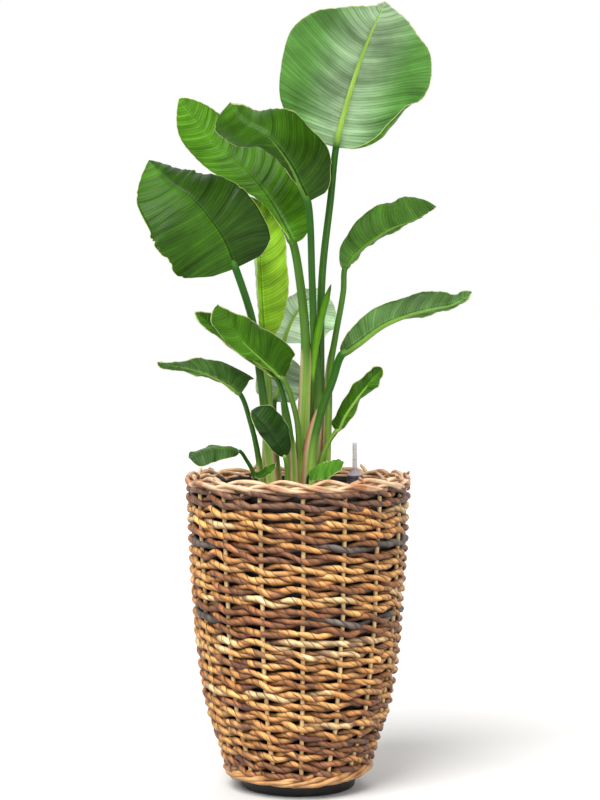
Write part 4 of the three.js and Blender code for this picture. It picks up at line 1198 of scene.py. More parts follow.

# Each leaf grows along one line: its stalk from the root crown to the blade, then its midrib to the tip,
# both in millimetres. Where nothing else is said, a pair is for the left and the right half, seen on the
# upper side with the tip up, and a triple is for the blade's base, middle and tip.
#   radius: the stalk's radius at its foot and at the blade, in millimetres
#   half: the width of each half, in millimetres
#   lobe: how far each half's margin reaches back past the base, as a share of the blade's length
#   face: where the upper side looks
#   fullest: where along the midrib each half is widest, from 0 to 1
#   heel: the share of that width that the blade has at its base
#   swell: how each half grows from the base to its widest, a small number for full early
#   tip: how each half ends, a small number for blunt
#   sweep: how far the veins run ahead of the midrib on their way to the margin
#   left, right: the angle that the half rises from the face, how much further it bends on the way to the
#       margin, and how much its outer part rolls
#   age: 0 for an old dark leaf and 1 for a young one
#   bloom: how much whitish colour the blade has, partly wax and partly painted sheen
#   hem: the width of the thin pale margin, in millimetres
#   pleat, wave: the depth of the pleats, and of the waves at the margin, in millimetres
#   torn: how ragged the margin is
#   tone: how light each half is, each at the base and at the tip: painted light and shade, as the light
#       falls on it
#   keel, green: how dark a green the midrib is below, and the upper part of the stalk
#   sheath: how far the stalk's foot widens on its left and right, in millimetres, the share of the stalk
#       that is still sheath, and how bluntly the sheath ends
#   pale: the share of the stalk that is pale at its foot
LEAVES = (
    {  # the tallest: it leans to the front and shows its underside
        "name": "leaf_01",
        "stalk": ((42, 24, 560), (43, 26, 700), (45, 30, 962), (62, 34, 1120)),
        "rib": ((72, 36, 1215), (86, 10, 1273), (109, -50, 1350), (131, -115, 1405), (156, -175, 1456)),
        "radius": (9, 6.5), "half": (141, 142), "lobe": (-0.14, 0.08),
        "face": ((0.1, 0.95, 0.3), (0.1, 0.8, 0.6), (0.1, 0.6, 0.8)),
        "fullest": (0.3, 0.34), "heel": 0.06, "tip": (1.1, 1.4),
        "swell": (0.45, 0.45), "sweep": 0.7,
        "left": ((-0.1, -0.2, -3.0), (0.1, 0.1, 0), (0, -0.3, 0)),
        "right": ((0.1, 0.2, 0), (0.1, 0.1, 0), (0, -0.3, 0)),
        "age": 0.35, "hem": 0.8, "pleat": 0.8, "wave": 3,
        "tone": ((1.1, 0.8), (1.05, 0.85)), "keel": 0, "green": 1,
        "sheath": (0, 1, 0.3, 0.8), "pale": 0.12,
    },
    {  # upper left, behind leaf_03
        "name": "leaf_02",
        "stalk": ((2, -6, 560), (12, -4, 740), (14, 4, 840), (3, 18, 961)),
        "rib": (
            (-10, 30, 1032), (-25, 45, 1066), (-58, 75, 1123),
            (-98, 100, 1173), (-171, 125, 1243), (-233, 130, 1318),
        ),
        "radius": (12, 8), "half": (52, 67), "lobe": (0.04, 0.04),
        "face": ((0.3, -0.8, 0.4), (0.1, -0.8, 0.6), (-0.2, -0.7, 0.6)),
        "fullest": (0.75, 0.45), "tip": (0.9, 0.62),
        "swell": (3.2, 0.5),         "left": ((-0.2, -0.6, 0), (-0.4, -0.5, 0), (-0.3, -0.4, 0)),
        "right": ((0.3, -0.2, 0), (0.3, -0.2, 0), (0, -0.2, 0)),
        "age": 0.5, "hem": 0.8, "pleat": 1, "wave": 3,
        "tone": ((1.1, 1.0), (0.95, 0.85)), "keel": 0.75, "green": 0.9,
        "sheath": (3, 9, 0.49, 0.35), "pale": 0.28,
    },
    {  # in front of leaf_02
        "name": "leaf_03",
        "stalk": ((24, 6, 560), (37, 4, 734), (30, 0, 851), (26, -8, 961)),
        "rib": (
            (18, -30, 1108), (4, -45, 1143), (-15, -58, 1179),
            (-58, -64, 1231), (-103, -36, 1260), (-128, 0, 1296),
        ),
        "radius": (9, 6.5), "half": (62, 88), "lobe": (0.05, -0.04),
        "face": ((0.3, -0.9, 0.3), (0.1, -0.8, 0.6), (-0.3, -0.8, 0.5)),
        "fullest": (0.84, 0.25), "tip": (0.35, 1.35),
        "swell": (2.2, 0.4), "sweep": 0.75,
        "left": ((-0.8, -1, 0), (-0.7, -0.8, 0), (-0.2, -0.3, 0)),
        "right": ((0.1, 0.1, 0), (0.1, -0.6, 0), (-0.1, -0.9, 0)),
        "age": 0.3, "hem": 1.5, "pleat": 0.6, "wave": 2,
        "tone": ((0.26, 1.05), (0.36, 1.0)), "keel": 0.75, "green": 1,
        "sheath": (4, 8, 0.3, 0.8), "pale": 0.1,
    },
    {  # big round leaf on the left
        "name": "leaf_04",
        "stalk": ((-50, -24, 560), (-64, -32, 724), (-73, -38, 792), (-84, -54, 877)),
        "rib": (
            (-116, -92, 981), (-137, -115, 1034), (-164, -128, 1073),
            (-196, -129, 1109), (-238, -110, 1138), (-276, -80, 1180),
        ),
        "radius": (9, 7), "half": (118, 89), "lobe": (0.1, 0.1),
        "face": ((0.1, -0.95, 0.3), (0, -0.85, 0.5), (-0.3, -0.7, 0.7)),
        "fullest": (0.3, 0.28), "tip": (0.85, 0.65),
        "swell": (0.4, 0.25),         "left": ((0.1, 0.1, 0), (0, -0.2, 0), (0, -0.3, 0)),
        "right": ((0.1, 0.2, 0), (0, -0.5, 0), (-0.2, -0.9, 0)),
        "age": 0.25, "hem": 0.8, "pleat": 0.8, "wave": 3, "torn": 0.05,
        "tone": ((0.75, 0.95), (0.34, 0.55)), "keel": 0.75, "green": 1,
        "sheath": (3, 8, 0.2, 0.8), "pale": 0.08,
    },
    {  # young, half unrolled, yellow-green
        "name": "leaf_05",
        "stalk": ((-60, 24, 560), (-58, 56, 733), (-62, 72, 800)),
        "rib": ((-65, 84, 850), (-70, 98, 920), (-74, 114, 1000), (-80, 128, 1070), (-94, 140, 1128)),
        "radius": (11, 7), "half": (50, 65), "lobe": (0.02, 0.02),
        "face": ((0.2, -1, 0), (0.2, -1, 0), (0.2, -1, 0.1)),
        "fullest": (0.5, 0.38), "heel": 0.2, "tip": (0.6, 0.9),
                "left": ((0.8, 0.6, 0), (0.8, 0.8, 0.4), (0.6, 0.4, 0)),
        "right": ((0.5, 0.6, 0), (0.3, 0.8, 0.2), (0.6, 0.4, 0)),
        "age": 1, "hem": 1, "pleat": 0.5, "wave": 2,
        "tone": ((1.25, 1.1), (0.95, 1.0)), "keel": 0, "green": 0.6,
        "sheath": (2, 4, 0.3, 0.8), "pale": 0.15,
    },
    {  # upper right, arching out
        "name": "leaf_06",
        "stalk": ((52, -6, 560), (57, 8, 700), (60, 17, 790), (70, 26, 851), (86, 39, 940)),
        "rib": (
            (89, 45, 984), (102, 55, 1007), (122, 70, 1027), (143, 82, 1043),
            (178, 98, 1065), (224, 115, 1083), (270, 135, 1108),
        ),
        "radius": (8, 5.5), "half": (64, 15), "lobe": (0, 0.04),
        "face": ((-0.5, -0.7, 0.3), (-0.4, -0.7, 0.6), (0.1, -0.7, 0.7)),
        "fullest": (0.78, 0.4), "tip": (0.5, 0.7),
        "swell": (0.8, 0.5),         "left": ((0.2, 0.2, 0), (0.2, 0, 0), (0, -0.2, 0)),
        "right": ((-1.2, -0.6, 0), (-1.5, -0.5, 0), (-1.3, -0.4, 0)),
        "age": 0.35, "bloom": 0.05, "hem": 1, "pleat": 0.6, "wave": 3,
        "tone": ((0.6, 0.86), (0.95, 1.03)), "keel": 0.7, "green": 0.9,
        "sheath": (5, 0, 0.52, 0.4), "pale": 0.1,
    },
    {  # middle right, arching out to the front
        "name": "leaf_07",
        "stalk": ((22, -46, 560), (26, -47, 640), (42, -52, 711), (64, -62, 773)),
        "rib": (
            (81, -72, 821), (114, -94, 848), (154, -112, 877), (200, -130, 896),
            (245, -146, 907), (282, -154, 915), (315, -160, 936),
        ),
        "radius": (10, 7.5), "half": (43, 17), "lobe": (0.05, 0.05),
        "face": ((-0.5, -0.7, 0.5), (-0.3, -0.8, 0.6), (0, -0.7, 0.7)),
        "fullest": (0.4, 0.4), "tip": (0.8, 0.6),
                "left": ((0.1, 0.1, 0), (0, -0.1, 0), (0, -0.3, 0)),
        "right": ((-1.3, -0.8, 0), (-1.35, -0.6, 0), (-0.8, -0.4, 0)),
        "age": 0.3, "bloom": 0.16, "hem": 1, "pleat": 0.5, "wave": 3,
        "tone": ((0.63, 0.71), (1.09, 0.84)), "keel": 0.6, "green": 1,
        "sheath": (15, 0, 0.52, 0.35), "pale": 0.18,
    },
    {  # lower right
        "name": "leaf_08",
        "stalk": ((34, -27, 560), (40, -31, 610), (50, -36, 641), (60, -39, 661)),
        "rib": ((71, -42, 677), (84, -48, 705), (110, -60, 743), (133, -68, 771), (156, -72, 796)),
        "radius": (7, 4.5), "half": (22, 20), "lobe": (0.05, 0.05),
        "face": ((-0.6, -0.6, 0.4), (-0.4, -0.8, 0.4), (-0.2, -0.8, 0.4)),
        "fullest": (0.25, 0.55), "tip": (0.4, 0.6),
        "swell": (0.3, 0.5),         "left": ((0, 0, 0), (0, 0, 0), (0, 0, 0)),
        "right": ((-0.9, -0.8, 0), (-1.2, -0.6, 0), (-0.4, 0, 0)),
        "age": 0.35, "hem": 1, "pleat": 0.4, "wave": 4,
        "tone": ((0.6, 0.65), (1.3, 1.15)), "keel": 0.35, "green": 0.55,
        "sheath": (0, 3, 0.25, 0.8), "pale": 0.1,
    },
    {  # left of the middle, arching to the front
        "name": "leaf_09",
        "stalk": ((3, -33, 560), (2, -42, 640), (-4, -58, 706)),
        "rib": ((-28, -82, 776), (-62, -106, 812), (-104, -132, 852), (-146, -160, 913)),
        "radius": (7.5, 5), "half": (30, 68), "lobe": (0.04, 0.16),
        "face": ((0.3, -0.6, 0.7), (0.3, -0.6, 0.7), (0.1, -0.8, 0.5)),
        "fullest": (0.8, 0.24), "tip": (0.55, 1.3),
        "swell": (1.5, 0.5),         "left": ((-0.7, -0.6, 0), (-0.9, -0.5, 0), (-0.4, -0.3, 0)),
        "right": ((0.2, 0.2, 0), (0.1, 0, 0), (0, -0.2, 0)),
        "age": 0.35, "hem": 1.2, "pleat": 0.5, "wave": 3,
        "tone": ((1.12, 0.69), (0.56, 0.73)), "keel": 0.5, "green": 0.8,
        "sheath": (2, 5, 0.35, 0.8), "pale": 0.12,
    },
    {  # behind leaf_09
        "name": "leaf_10",
        "stalk": ((-8, -52, 560), (-12, -54, 650), (-22, -60, 716)),
        "rib": ((-40, -74, 776), (-84, -94, 815), (-134, -108, 856), (-190, -116, 900)),
        "radius": (7, 4.5), "half": (13, 62), "lobe": (0.08, 0.08),
        "face": ((0.4, -0.6, 0.6), (0.25, -0.75, 0.6), (0.1, -0.8, 0.5)),
        "fullest": (0.75, 0.3), "tip": (0.6, 1),
                "left": ((-0.6, -0.6, 0), (-0.8, -0.4, 0), (-0.4, -0.3, 0)),
        "right": ((0, 0, 0), (0, 0, 0), (0, -0.2, 0)),
        "age": 0.25, "hem": 1.5, "pleat": 0.5, "wave": 3,
        "tone": ((1.4, 1.0), (0.5, 0.6)), "keel": 0.4, "green": 1,
        "sheath": (2, 6, 0.42, 0.5), "pale": 0.2,
    },
    {  # left
        "name": "leaf_11",
        "stalk": ((-68, -34, 560), (-76, -42, 634), (-90, -52, 696)),
        "rib": ((-108, -66, 747), (-134, -80, 770), (-188, -108, 794), (-258, -135, 808)),
        "radius": (7, 4.5), "half": (12, 44), "lobe": (0.04, 0.2),
        "face": ((0.6, -0.6, 0.4), (0.3, -0.7, 0.7), (0, -0.7, 0.7)),
        "fullest": (0.85, 0.16), "tip": (0.4, 1.5),
        "swell": (0.5, 0.4),         "left": ((-0.9, -0.5, 0), (-1.2, -0.5, 0), (-0.8, -0.3, 0)),
        "right": ((0.2, 0.2, 0), (0, 0, 0), (-0.2, -0.2, 0)),
        "age": 0.25, "bloom": 0.1, "hem": 1, "pleat": 0.5, "wave": 3,
        "tone": ((1.2, 0.8), (0.6, 0.8)), "keel": 0.5, "green": 1,
        "sheath": (2, 4, 0.3, 0.8), "pale": 0.12,
    },
    {  # small, low on the left
        "name": "leaf_12",
        "stalk": ((-74, -52, 560), (-84, -58, 600), (-97, -68, 625)),
        "rib": ((-109, -84, 642), (-135, -100, 648), (-168, -120, 645), (-198, -132, 630)),
        "radius": (5, 3.5), "half": (27, 29), "lobe": (0.02, 0.18),
        "face": ((0.3, -0.7, 0.6), (0.1, -0.7, 0.7), (-0.2, -0.7, 0.7)),
        "fullest": (0.75, 0.8), "tip": (0.5, 0.5),
                "left": ((0, -0.3, 0), (-0.2, -0.3, 0), (-0.2, -0.3, 0)),
        "right": ((-0.3, -0.6, 0), (-0.4, -0.5, 0), (-0.4, -0.2, 0)),
        "age": 0.2, "bloom": 0.1, "hem": 1, "pleat": 0.4, "wave": 2,
        "tone": ((0.65, 0.69), (0.95, 0.77)), "keel": 0.6, "green": 1,
        "sheath": (1, 1, 0.3, 0.8), "pale": 0.1,
    },
    {  # low in the middle, dark
        "name": "leaf_13",
        "stalk": ((-22, -72, 560), (-21, -84, 598)),
        "rib": ((-25, -100, 632), (-40, -110, 660), (-61, -115, 692), (-87, -108, 718)),
        "radius": (5.5, 4), "half": (19, 41), "lobe": (0.04, 0.04),
        "face": ((0.1, -0.9, 0.4), (0.1, -0.9, 0.4), (0, -0.9, 0.5)),
        "fullest": (0.5, 0.55), "tip": (0.75, 0.5),
        "swell": (0.6, 0.6),         "left": ((0, -0.2, 0), (-0.1, -0.2, 0), (0, 0, 0)),
        "right": ((0, -0.2, 0), (-0.1, -0.4, 0), (0, 0, 0)),
        "age": 0, "hem": 0.8, "pleat": 0.4, "wave": 2,
        "tone": ((0.62, 0.68), (0.68, 0.74)), "keel": 0.3, "green": 0.6,
        "sheath": (1, 1, 0.3, 0.8), "pale": 0.1,
    },
    {  # behind the stalks, its underside to the front
        "name": "leaf_14",
        "stalk": ((-14, 40, 560), (-22, 100, 650), (-30, 136, 730), (-34, 136, 795)),
        "rib": ((-30, 132, 842), (-18, 130, 878), (4, 122, 914), (38, 104, 948)),
        "radius": (7, 4.5), "half": (105, 34), "lobe": (0.1, 0.1),
        "face": ((-0.3, 0.9, 0.3), (-0.3, 0.8, 0.5), (-0.2, 0.6, 0.8)),
        "fullest": (0.45, 0.45), "tip": (0.6, 0.6),
        "swell": (0.8, 0.5),         "left": ((0.1, 0.2, 0), (0.1, 0.1, 0), (0, 0, 0)),
        "right": ((0.1, 0.2, 0), (0.1, 0.1, 0), (0, 0, 0)),
        "age": 0.4, "bloom": 0.9, "hem": 0.8, "pleat": 0.5, "wave": 3,
        "tone": ((1.35, 1.3), (1.3, 1.35)), "keel": 0.1, "green": 0.6,
        "sheath": (2, 2, 0.3, 0.8), "pale": 0.12,
    },
    {  # low behind the stalks
        "name": "leaf_15",
        "stalk": ((-38, 46, 560), (-44, 70, 640), (-46, 86, 690)),
        "rib": ((-46, 98, 728), (-38, 106, 758), (-26, 108, 786), (-8, 102, 808)),
        "radius": (7, 4.5), "half": (50, 50), "lobe": (0.1, 0.1),
        "face": ((0, 0.9, 0.3), (0, 0.9, 0.5), (0, 0.8, 0.6)),
        "fullest": (0.45, 0.45), "tip": (0.6, 0.6),
                "left": ((0.1, 0.2, 0), (0.1, 0.1, 0), (0, 0, 0)),
        "right": ((0.1, 0.2, 0), (0.1, 0.1, 0), (0, 0, 0)),
        "age": 0.4, "bloom": 0.4, "hem": 1.2, "pleat": 0.4, "wave": 3,
        "tone": ((0.8, 0.8), (0.8, 0.8)), "keel": 0.3, "green": 1,
        "sheath": (2, 2, 0.3, 0.8), "pale": 0.12,
    },
    {  # small, over the front of the rim
        "name": "leaf_16",
        "stalk": ((16, -72, 560), (16, -92, 574)),
        "rib": ((20, -120, 600), (38, -143, 610), (58, -166, 617), (82, -186, 626)),
        "radius": (4.5, 3), "half": (15, 26), "lobe": (0.02, 0.02),
        "face": ((-0.3, -0.8, 0.5), (-0.2, -0.8, 0.5), (0, -0.7, 0.6)),
        "fullest": (0.5, 0.5), "tip": (0.5, 0.5),
                "left": ((0.1, 0.1, 0), (0.1, 0, 0), (0, 0, 0)),
        "right": ((0.1, 0.1, 0), (0.1, 0, 0), (0, 0, 0)),
        "age": 0.45, "bloom": 0.05, "hem": 0.4, "pleat": 0.5, "wave": 2, "torn": 0.4,
        "tone": ((1.0, 0.8), (0.9, 0.75)), "keel": 0.4, "green": 1,
        "sheath": (1, 1, 0.3, 0.8), "pale": 0.1,
    },
    {  # small, dark, low on the left
        "name": "leaf_17",
        "stalk": ((-60, -64, 560), (-74, -74, 580)),
        "rib": ((-80, -84, 595), (-64, -94, 603), (-41, -102, 620)),
        "radius": (3.5, 2.5), "half": (8, 14), "lobe": (0, 0),
        "face": ((0, -0.7, 0.7), (0, -0.7, 0.7), (0, -0.7, 0.7)),
        "fullest": (0.5, 0.5), "tip": (0.75, 0.75),
                "left": ((0.1, 0.1, 0), (0.1, 0, 0), (0, 0, 0)),
        "right": ((0.1, 0.1, 0), (0.1, 0, 0), (0, 0, 0)),
        "age": 0.3, "hem": 0.2, "pleat": 0.3, "wave": 1,
        "tone": ((0.5, 0.55), (0.6, 0.6)), "keel": 0.6, "green": 1,
        "sheath": (0, 0, 0.3, 0.8), "pale": 0.1,
    },
)

# The new shoot's line, in millimetres.
SPEAR = ((20, -22, 560), (26, -20, 696), (28, -18, 785), (37, -14, 861), (54, -10, 927), (62, -8, 953))

LOBE_REACH = 0.35  # the share of the blade that the lobes at its base shape
GROOVE_DEPTH = 1.8 * MM  # how deep the midrib lies on the upper side
GROOVE_WIDTH = 3.2 * MM


class Leaf:
    """The surface of one leaf, worked out for arrays of places along and across it."""

    def __init__(self, facts):
        self.__dict__.update(USUAL_LEAF)
        self.__dict__.update(facts)
        self.line = GrowthLine(np.array(self.stalk + self.rib) * MM)
        self.base = len(self.stalk) / (len(self.stalk) + len(self.rib) - 1)
        walk = self.line.at(np.linspace(self.base, 1, 200))
        self.run = np.concatenate([[0], np.cumsum(np.linalg.norm(np.diff(walk, axis=0), axis=1))])

    def keyed(self, keys, along):
        return np.interp(along, (0, 0.5, 1), keys)

    def share_of(self, station):
        return np.where(station < 0, self.base * (1 + station), self.base + (1 - self.base) * station)

    def frame_at(self, station):
        """The midrib's place, its direction, where the upper side looks, and the way to the right."""
        share = np.clip(self.share_of(station), 0, 1)
        forward = self.line.tangent(share)
        t = np.clip(station, 0, 1)
        face = np.stack([self.keyed([key[i] for key in self.face], t) for i in range(3)], axis=-1)
        face = unit(face - forward * (face * forward).sum(axis=-1, keepdims=True))
        return self.line.at(share), forward, face, np.cross(forward, face)

    def outline(self, along, right):
        keys = (self.fullest, self.tip, self.swell)
        fullest, tip, swell = (np.where(right, key[1], key[0]) for key in keys)
        grown = np.minimum(along / fullest, 1)
        rise = self.heel + (1 - self.heel) * (1 - (1 - grown) ** 2) ** swell
        fall = np.cos(np.clip((along - fullest) / (1 - fullest), 0, 1) * math.pi / 2) ** tip
        return np.where(along < fullest, rise, fall)

    def surface(self, along, across, pleat_spacing):
        """Points of the blade, metres along and across it, and the width of its half there."""
        share, right = np.abs(across), across >= 0
        hand = np.where(right, 1, -1)
        near_base = np.sin(math.pi * np.minimum(1, along / LOBE_REACH)) ** 2
        back = np.where(right, self.lobe[1], self.lobe[0]) * share**2 * near_base
        station = along + self.sweep * along * (1 - along) * share**1.5 - back
        origin, _, face, side = self.frame_at(station)
        fold, bend, roll = (
            np.where(right, self.keyed([key[i] for key in self.right], along),
                     self.keyed([key[i] for key in self.left], along))
            for i in range(3)
        )
        chance = random.Random(self.name)
        half = np.where(right, self.half[1], self.half[0]) * MM * self.outline(along, right)
        half = half * (1 - self.torn * self.nicks(along, hand, chance))
        out, up = np.zeros_like(share), np.zeros_like(share)
        # Each half rises from the midrib, bends on the way to the margin and rolls near it.
        steps = 12
        for i in range(steps):
            t = (i + 0.5) / steps * share
            angle = fold + bend * t + roll * np.maximum(0, (t - 0.6) / 0.4)
            out += np.cos(angle) * share * half / steps
            up += np.sin(angle) * share * half / steps
        point = origin + side * (hand * out)[..., None] + face * up[..., None]
        normal = face * np.cos(angle)[..., None] - side * (hand * np.sin(angle))[..., None]
        run = np.interp(along, np.linspace(0, 1, 200), self.run)
        breadth = share * half
        # Pleats cross the blade and waves run along its margin. Both fade at its two ends.
        body = np.minimum(1, 10 * along) * np.minimum(1, 12 * (1 - along))
        pleats = np.sin(FULL_TURN * run / pleat_spacing + hand + 1.3 * np.sin(run / (55 * MM)))
        pleats = pleats + 0.45 * np.sin(FULL_TURN * run / (0.57 * pleat_spacing) + 2 * hand)
        rise = self.pleat * MM * pleats * np.minimum(1, 3 * share) * body
        first, second = (FULL_TURN * chance.uniform(0, 1) for _ in range(2))
        waves = np.sin(FULL_TURN * 2.3 * along + first * hand)
        waves = waves + 0.6 * np.sin(FULL_TURN * 4.7 * along + second)
        rise = rise + self.wave * MM * waves * share**2.2 * body
        groove = np.exp(-((breadth / GROOVE_WIDTH) ** 2)) * np.minimum(1, 6 * (1 - along))
        rise = rise - GROOVE_DEPTH * groove
        return point + normal * rise[..., None], run, hand * breadth, half

    def nicks(self, along, hand, chance):
        """Shallow tears of the margin, as a share of the half width."""
        depth = np.zeros_like(along)
        for _ in range(9):
            place, size = chance.uniform(0.1, 0.92), chance.uniform(0.3, 1)
            side = chance.choice((-1, 1))
            depth = depth + size * (hand == side) * np.exp(-(((along - place) / 0.012) ** 2))
        return np.clip(depth, 0, 1)


class PLANT_OT_leaves(bpy.types.Operator):
    """Grows the leaves: a pleated blade with a grooved midrib, and a stalk that widens into its sheath."""

    bl_idname = "plant.leaves"
    bl_label = "Leaves"

    def execute(self, context):
        settings = context.scene.plant_leaves
        skins = [leaf_skin("leaf_upper_side", settings), leaf_skin("leaf_underside", settings, True)]
        skins.append(leaf_margin(settings))
        stalk = stalk_skin(settings)
        for facts in LEAVES:
            leaf = Leaf(facts)
            self.add_blade(context, settings, leaf, skins)
            self.add_stalk(context, leaf, stalk)
        return {"FINISHED"}

    def add_blade(self, context, settings, leaf, skins):
        length, width = leaf.run[-1], sum(leaf.half) * MM
        row_length, column_width = 2.6 * MM, 8.5 * MM
        rows = int(np.clip(length / row_length, 40, 150))
        columns = 2 * int(np.clip(width / column_width, 8, 24))
        bm = new_bmesh()
        layers = [bm.verts.layers.float.new(name) for name in ("age", "bloom", "hem", "keel", "tone")]
        uv_map = bm.loops.layers.uv.active
        kept = {}

        def place(u, v):
            across = 2 * u - 1
            across = np.sign(across) * np.abs(across) ** 1.3
            point, run, breadth, half = leaf.surface(v, across, settings.pleat_spacing)
            keel = leaf.radius[1] * MM * np.maximum(0.25, 1 - v) ** 0.7
            hem = (half - np.abs(breadth)) / (leaf.hem * MM)
            # Painted light and shade: how light each half is, from its base to its tip.
            left, right = (np.interp(v, (0, 1), ends) for ends in leaf.tone)
            tone = np.where(across > 0, right, np.where(across < 0, left, (left + right) / 2))
            kept.update(run=run, breadth=breadth, hem=hem, keel=keel, tone=tone)
            return point

        made, _, _ = moved_grid(bm, columns, rows, place)
        flat = {}
        for vert, run, breadth, hem, keel, tone in zip(made, *kept.values()):
            for layer, value in zip(layers, (leaf.age, leaf.bloom, hem, keel, tone)):
                vert[layer] = value
            flat[vert] = (run, breadth)
        for face in bm.faces:
            for loop in face.loops:
                loop[uv_map].uv = flat[loop.vert]
        bmesh.ops.remove_doubles(bm, verts=bm.verts, dist=1e-6)
        bm.normal_update()
        _, _, face, _ = leaf.frame_at(np.array([0.5]))
        if sum(f.normal.dot(face[0]) * f.calc_area() for f in bm.faces) < 0:
            bmesh.ops.reverse_faces(bm, faces=bm.faces)
        piece = add_piece(context, bm, leaf.name + "_lamina", skins, (leaf.name + "_blade",))
        sheet = piece.modifiers.new("Thickness", "SOLIDIFY")
        sheet.thickness, sheet.offset = settings.leaf_thickness, 0
        sheet.material_offset, sheet.material_offset_rim = 1, 2

    def add_stalk(self, context, leaf, material):
        """The stalk and, below the blade, the midrib that it goes on into."""
        foot, top = (radius * MM for radius in leaf.radius)
        left, right, reach, blunt = leaf.sheath
        stalk = np.linspace(-1, 0, 46)[:-1]
        rib = np.linspace(0, 0.97, 40)
        station = np.concatenate([stalk, rib])
        path, _, face, side = leaf.frame_at(station)
        grown = np.clip(station + 1, 0, 1)
        up_blade = np.clip(station, 0, 1)
        radius = np.where(station < 0, top + (foot - top) * (1 - grown) ** 2, top * (1 - up_blade) ** 0.7)
        radius = np.maximum(radius, 0.5 * MM)
        below = np.clip(station / 0.04, 0, 1)
        groove = GROOVE_DEPTH * np.minimum(1, 6 * (1 - up_blade))
        path = path - face * ((radius * 0.5 + groove + 0.4 * MM) * below)[:, None]
        wing = np.clip(1 - grown / reach, 0, 1) ** blunt
        hollow = 0.22 * (1 - below)

        def grown_by(wide, k):
            return np.where(wide > 0, right, left) * MM * wing[k] / radius[k]

        def section(turn, k):
            wide, high = np.cos(turn), np.sin(turn)
            grow = grown_by(wide, k)
            out = wide + np.sign(wide) * grow * np.abs(wide) ** 3
            high = high * (1 - hollow[k] * np.exp(-(((turn % FULL_TURN) - math.pi / 2) / 0.5) ** 2))
            curl = 0.25 * np.maximum(0, np.abs(out) - 1) ** 1.4
            return out, np.minimum(high * (1 - 0.25 * wing[k] * (grow > 0)) + curl, 2 - 1.5 * below[k])

        def dryness(turn, k):
            wide = np.cos(turn)
            grow = grown_by(wide, k)
            return np.abs(wide) ** (4 / (1 + grow)) * np.clip(2.5 * grow, 0, 1) * np.clip(3 * wing[k], 0, 1)

        bm = new_bmesh()
        layers = [bm.verts.layers.float.new(name) for name in ("green", "edge")]
        upper, keel = leaf.green, leaf.keel
        places = (-1, -1 + leaf.pale, -0.8 + leaf.pale, 0.0, 0.04, 0.15)
        depths = (0.05, 0.3 * upper, 0.9 * upper, upper, (upper + keel) / 2, keel)
        greens = np.interp(station, places, depths)
        shades = [lambda turn, k: greens[k], dryness]
        tube(bm, path, side * radius[:, None], face * radius[:, None], 20, section, False, shades, layers)
        bmesh.ops.recalc_face_normals(bm, faces=bm.faces)
        add_piece(context, bm, leaf.name + "_petiole", [material], (leaf.name + "_stalk",))


class PLANT_OT_shoot(bpy.types.Operator):
    """Grows the newest leaf, which is still rolled into a spear."""

    bl_idname = "plant.shoot"
    bl_label = "New shoot"

    def execute(self, context):
        line = GrowthLine(np.array(SPEAR) * MM)
        share = np.linspace(0, 1, 90)
        path, forward = line.at(share), line.tangent(share)
        first = unit(np.cross(forward, [0.0, 1.0, 0.0]))
        second = np.cross(forward, first)
        radius = np.interp(share, (0, 0.4, 0.6, 0.8, 0.93, 1), (5, 3.2, 6.6, 5.4, 2.8, 0.4)) * MM

        def section(turn, k):
            seam = (turn - 9 * share[k]) % FULL_TURN
            wrap = 1 + 0.16 * seam / FULL_TURN
            return np.cos(turn) * wrap, np.sin(turn) * wrap

        bm = new_bmesh()
        layers = [bm.verts.layers.float.new(name) for name in ("age", "hem", "keel", "tone")]
        ages = np.interp(share, (0, 0.8, 1), (0.6, 0.5, 0.0))
        # Painted light and shade: the shoot is dark low down among the stalks, and one side of it is lighter
        # than the other.
        tones = np.interp(share, (0.36, 0.4), (0.35, 1.0))
        shades = [
            lambda turn, k: ages[k],
            lambda turn, k: 10 + 0 * turn,
            lambda turn, k: MM + 0 * turn,
            lambda turn, k: tones[k] * (1 - 0.2 * np.cos(turn)),
        ]
        tube(bm, path, first * radius[:, None], second * radius[:, None], 24, section, False, shades, layers)
        bmesh.ops.recalc_face_normals(bm, faces=bm.faces)
        skin = bpy.data.materials["leaf_upper_side"]
        add_piece(context, bm, "rolled_leaf", [skin], ("spear",))
        return {"FINISHED"}


class PLANT_OT_crown(bpy.types.Operator):
    """Models the root crown that the stalks grow from, a low brown mound between the granules."""

    bl_idname = "plant.crown"
    bl_label = "Root crown"

    def execute(self, context):
        low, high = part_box("root_crown")
        x, y = (low[0] + high[0]) / 2, (low[1] + high[1]) / 2
        wide, deep = (high[0] - low[0]) / 2, (high[1] - low[1]) / 2
        profile = [(0, low[2]), (0.7, low[2]), (0.95, low[2] + 12 * MM), (0.9, high[2] - 8 * MM)]
        profile += [(0.7, high[2] + 2 * MM), (0.35, high[2] + 6 * MM), (0, high[2] + 7 * MM)]
        bm = new_bmesh()
        turned(bm, profile, 72)
        for vert in bm.verts:
            turn = math.atan2(vert.co.y, vert.co.x)
            lumps = 1 + 0.05 * math.sin(7 * turn) + 0.04 * math.sin(13 * turn + 1)
            vert.co = (x + vert.co.x * wide * lumps, y + vert.co.y * deep * lumps, vert.co.z)
        bmesh.ops.recalc_face_normals(bm, faces=bm.faces)
        add_piece(context, bm, "crown", [crown_bark()], ("root_crown",))
        return {"FINISHED"}


# ---------------------------------------------------------------------------------------------------------
# Stage
# ---------------------------------------------------------------------------------------------------------


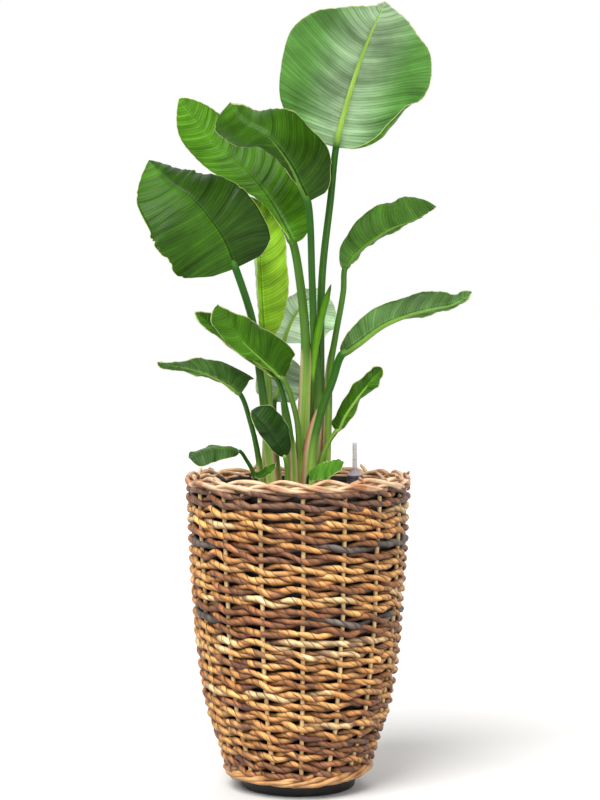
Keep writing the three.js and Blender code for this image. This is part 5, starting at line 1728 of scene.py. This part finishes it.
class PLANT_OT_stage(bpy.types.Operator):
    """Lays the pale studio floor, lights it softly and sets the camera."""

    bl_idname = "plant.stage"
    bl_label = "Stage"

    def execute(self, context):
        settings = context.scene.plant_stage
        scene = context.scene
        bm = new_bmesh()
        bmesh.ops.create_circle(bm, cap_ends=True, segments=96, radius=14)
        mesh = bpy.data.meshes.new("studio_floor")
        bm.to_mesh(mesh)
        bm.free()
        material, _ = new_material("matt_studio_floor")
        finish_material(material, {"Base Color": tuple(settings.floor_colour), "Roughness": 0.9})
        mesh.materials.append(material)
        floor = bpy.data.objects.new("studio_floor", mesh)
        scene.collection.objects.link(floor)

        world = bpy.data.worlds.new("studio")
        world.use_nodes = True
        scene.world = world
        tree = world.node_tree
        sky = tree.nodes["Background"]
        seen = add_node(tree, "ShaderNodeLightPath")
        strength = add_node(
            tree, "ShaderNodeMapRange",
            {"Value": seen.outputs["Is Camera Ray"], "To Min": settings.daylight, "To Max": 1.0},
        )
        tree.links.new(strength.outputs[0], sky.inputs["Strength"])
        sky.inputs["Color"].default_value = linear("#FFFFFF")
        scene.view_settings.view_transform = "Standard"

        for name, source, softness, share in (
            ("key_light", (-0.35, -0.6, 0.8), 40, 1.2),
            ("front_light", (0.4, -1.0, 0.1), 60, 0.55),
            ("back_light", (0.3, 0.9, 0.6), 70, 0.4),
        ):
            light = bpy.data.lights.new(name, "SUN")
            light.angle, light.energy = math.radians(softness), settings.key_power * share
            lamp = bpy.data.objects.new(name, light)
            lamp.rotation_euler = Vector(source).to_track_quat("Z", "Y").to_euler()
            scene.collection.objects.link(lamp)

        # The eye is 3.8 m in front of the plant, above its middle, and looks down slightly.
        camera = bpy.data.cameras.new("camera")
        camera.sensor_fit, camera.sensor_height, camera.lens = "VERTICAL", 36, 90
        view = bpy.data.objects.new("camera", camera)
        view.location = (0.0032, -3.788, 0.857)
        view.rotation_euler = (math.radians(88.14), 0, 0)
        scene.collection.objects.link(view)
        scene.camera = view
        return {"FINISHED"}


# ---------------------------------------------------------------------------------------------------------
# Panel and run
# ---------------------------------------------------------------------------------------------------------

STEPS = (
    PLANT_OT_weave, PLANT_OT_stakes, PLANT_OT_borders, PLANT_OT_liner, PLANT_OT_granules, PLANT_OT_gauge,
    PLANT_OT_leaves, PLANT_OT_shoot, PLANT_OT_crown, PLANT_OT_stage,
)
GROUPS = {
    "plant_basket": BasketSettings, "plant_pot": PotSettings, "plant_leaves": PlantSettings,
    "plant_stage": StageSettings,
}


class PLANT_PT_panel(bpy.types.Panel):
    """Lists the settings and the steps in the sidebar of the 3D view."""

    bl_idname = "PLANT_PT_panel"
    bl_label = "Bird of paradise"
    bl_space_type = "VIEW_3D"
    bl_region_type = "UI"
    bl_category = "Plant"

    def draw(self, context):
        for group, kind in GROUPS.items():
            box = self.layout.box()
            for setting in kind.__annotations__:
                box.prop(getattr(context.scene, group), setting)
        for step in STEPS:
            self.layout.operator(step.bl_idname)


def register():
    for kind in (*GROUPS.values(), *STEPS, PLANT_PT_panel):
        bpy.utils.register_class(kind)
    for name, kind in GROUPS.items():
        setattr(bpy.types.Scene, name, bpy.props.PointerProperty(type=kind))


def unregister():
    for name in GROUPS:
        delattr(bpy.types.Scene, name)
    for kind in reversed((*GROUPS.values(), *STEPS, PLANT_PT_panel)):
        bpy.utils.unregister_class(kind)


def main():
    register()
    for step in STEPS:
        group, name = step.bl_idname.split(".")
        getattr(getattr(bpy.ops, group), name)()


if __name__ == "__main__":
    main()
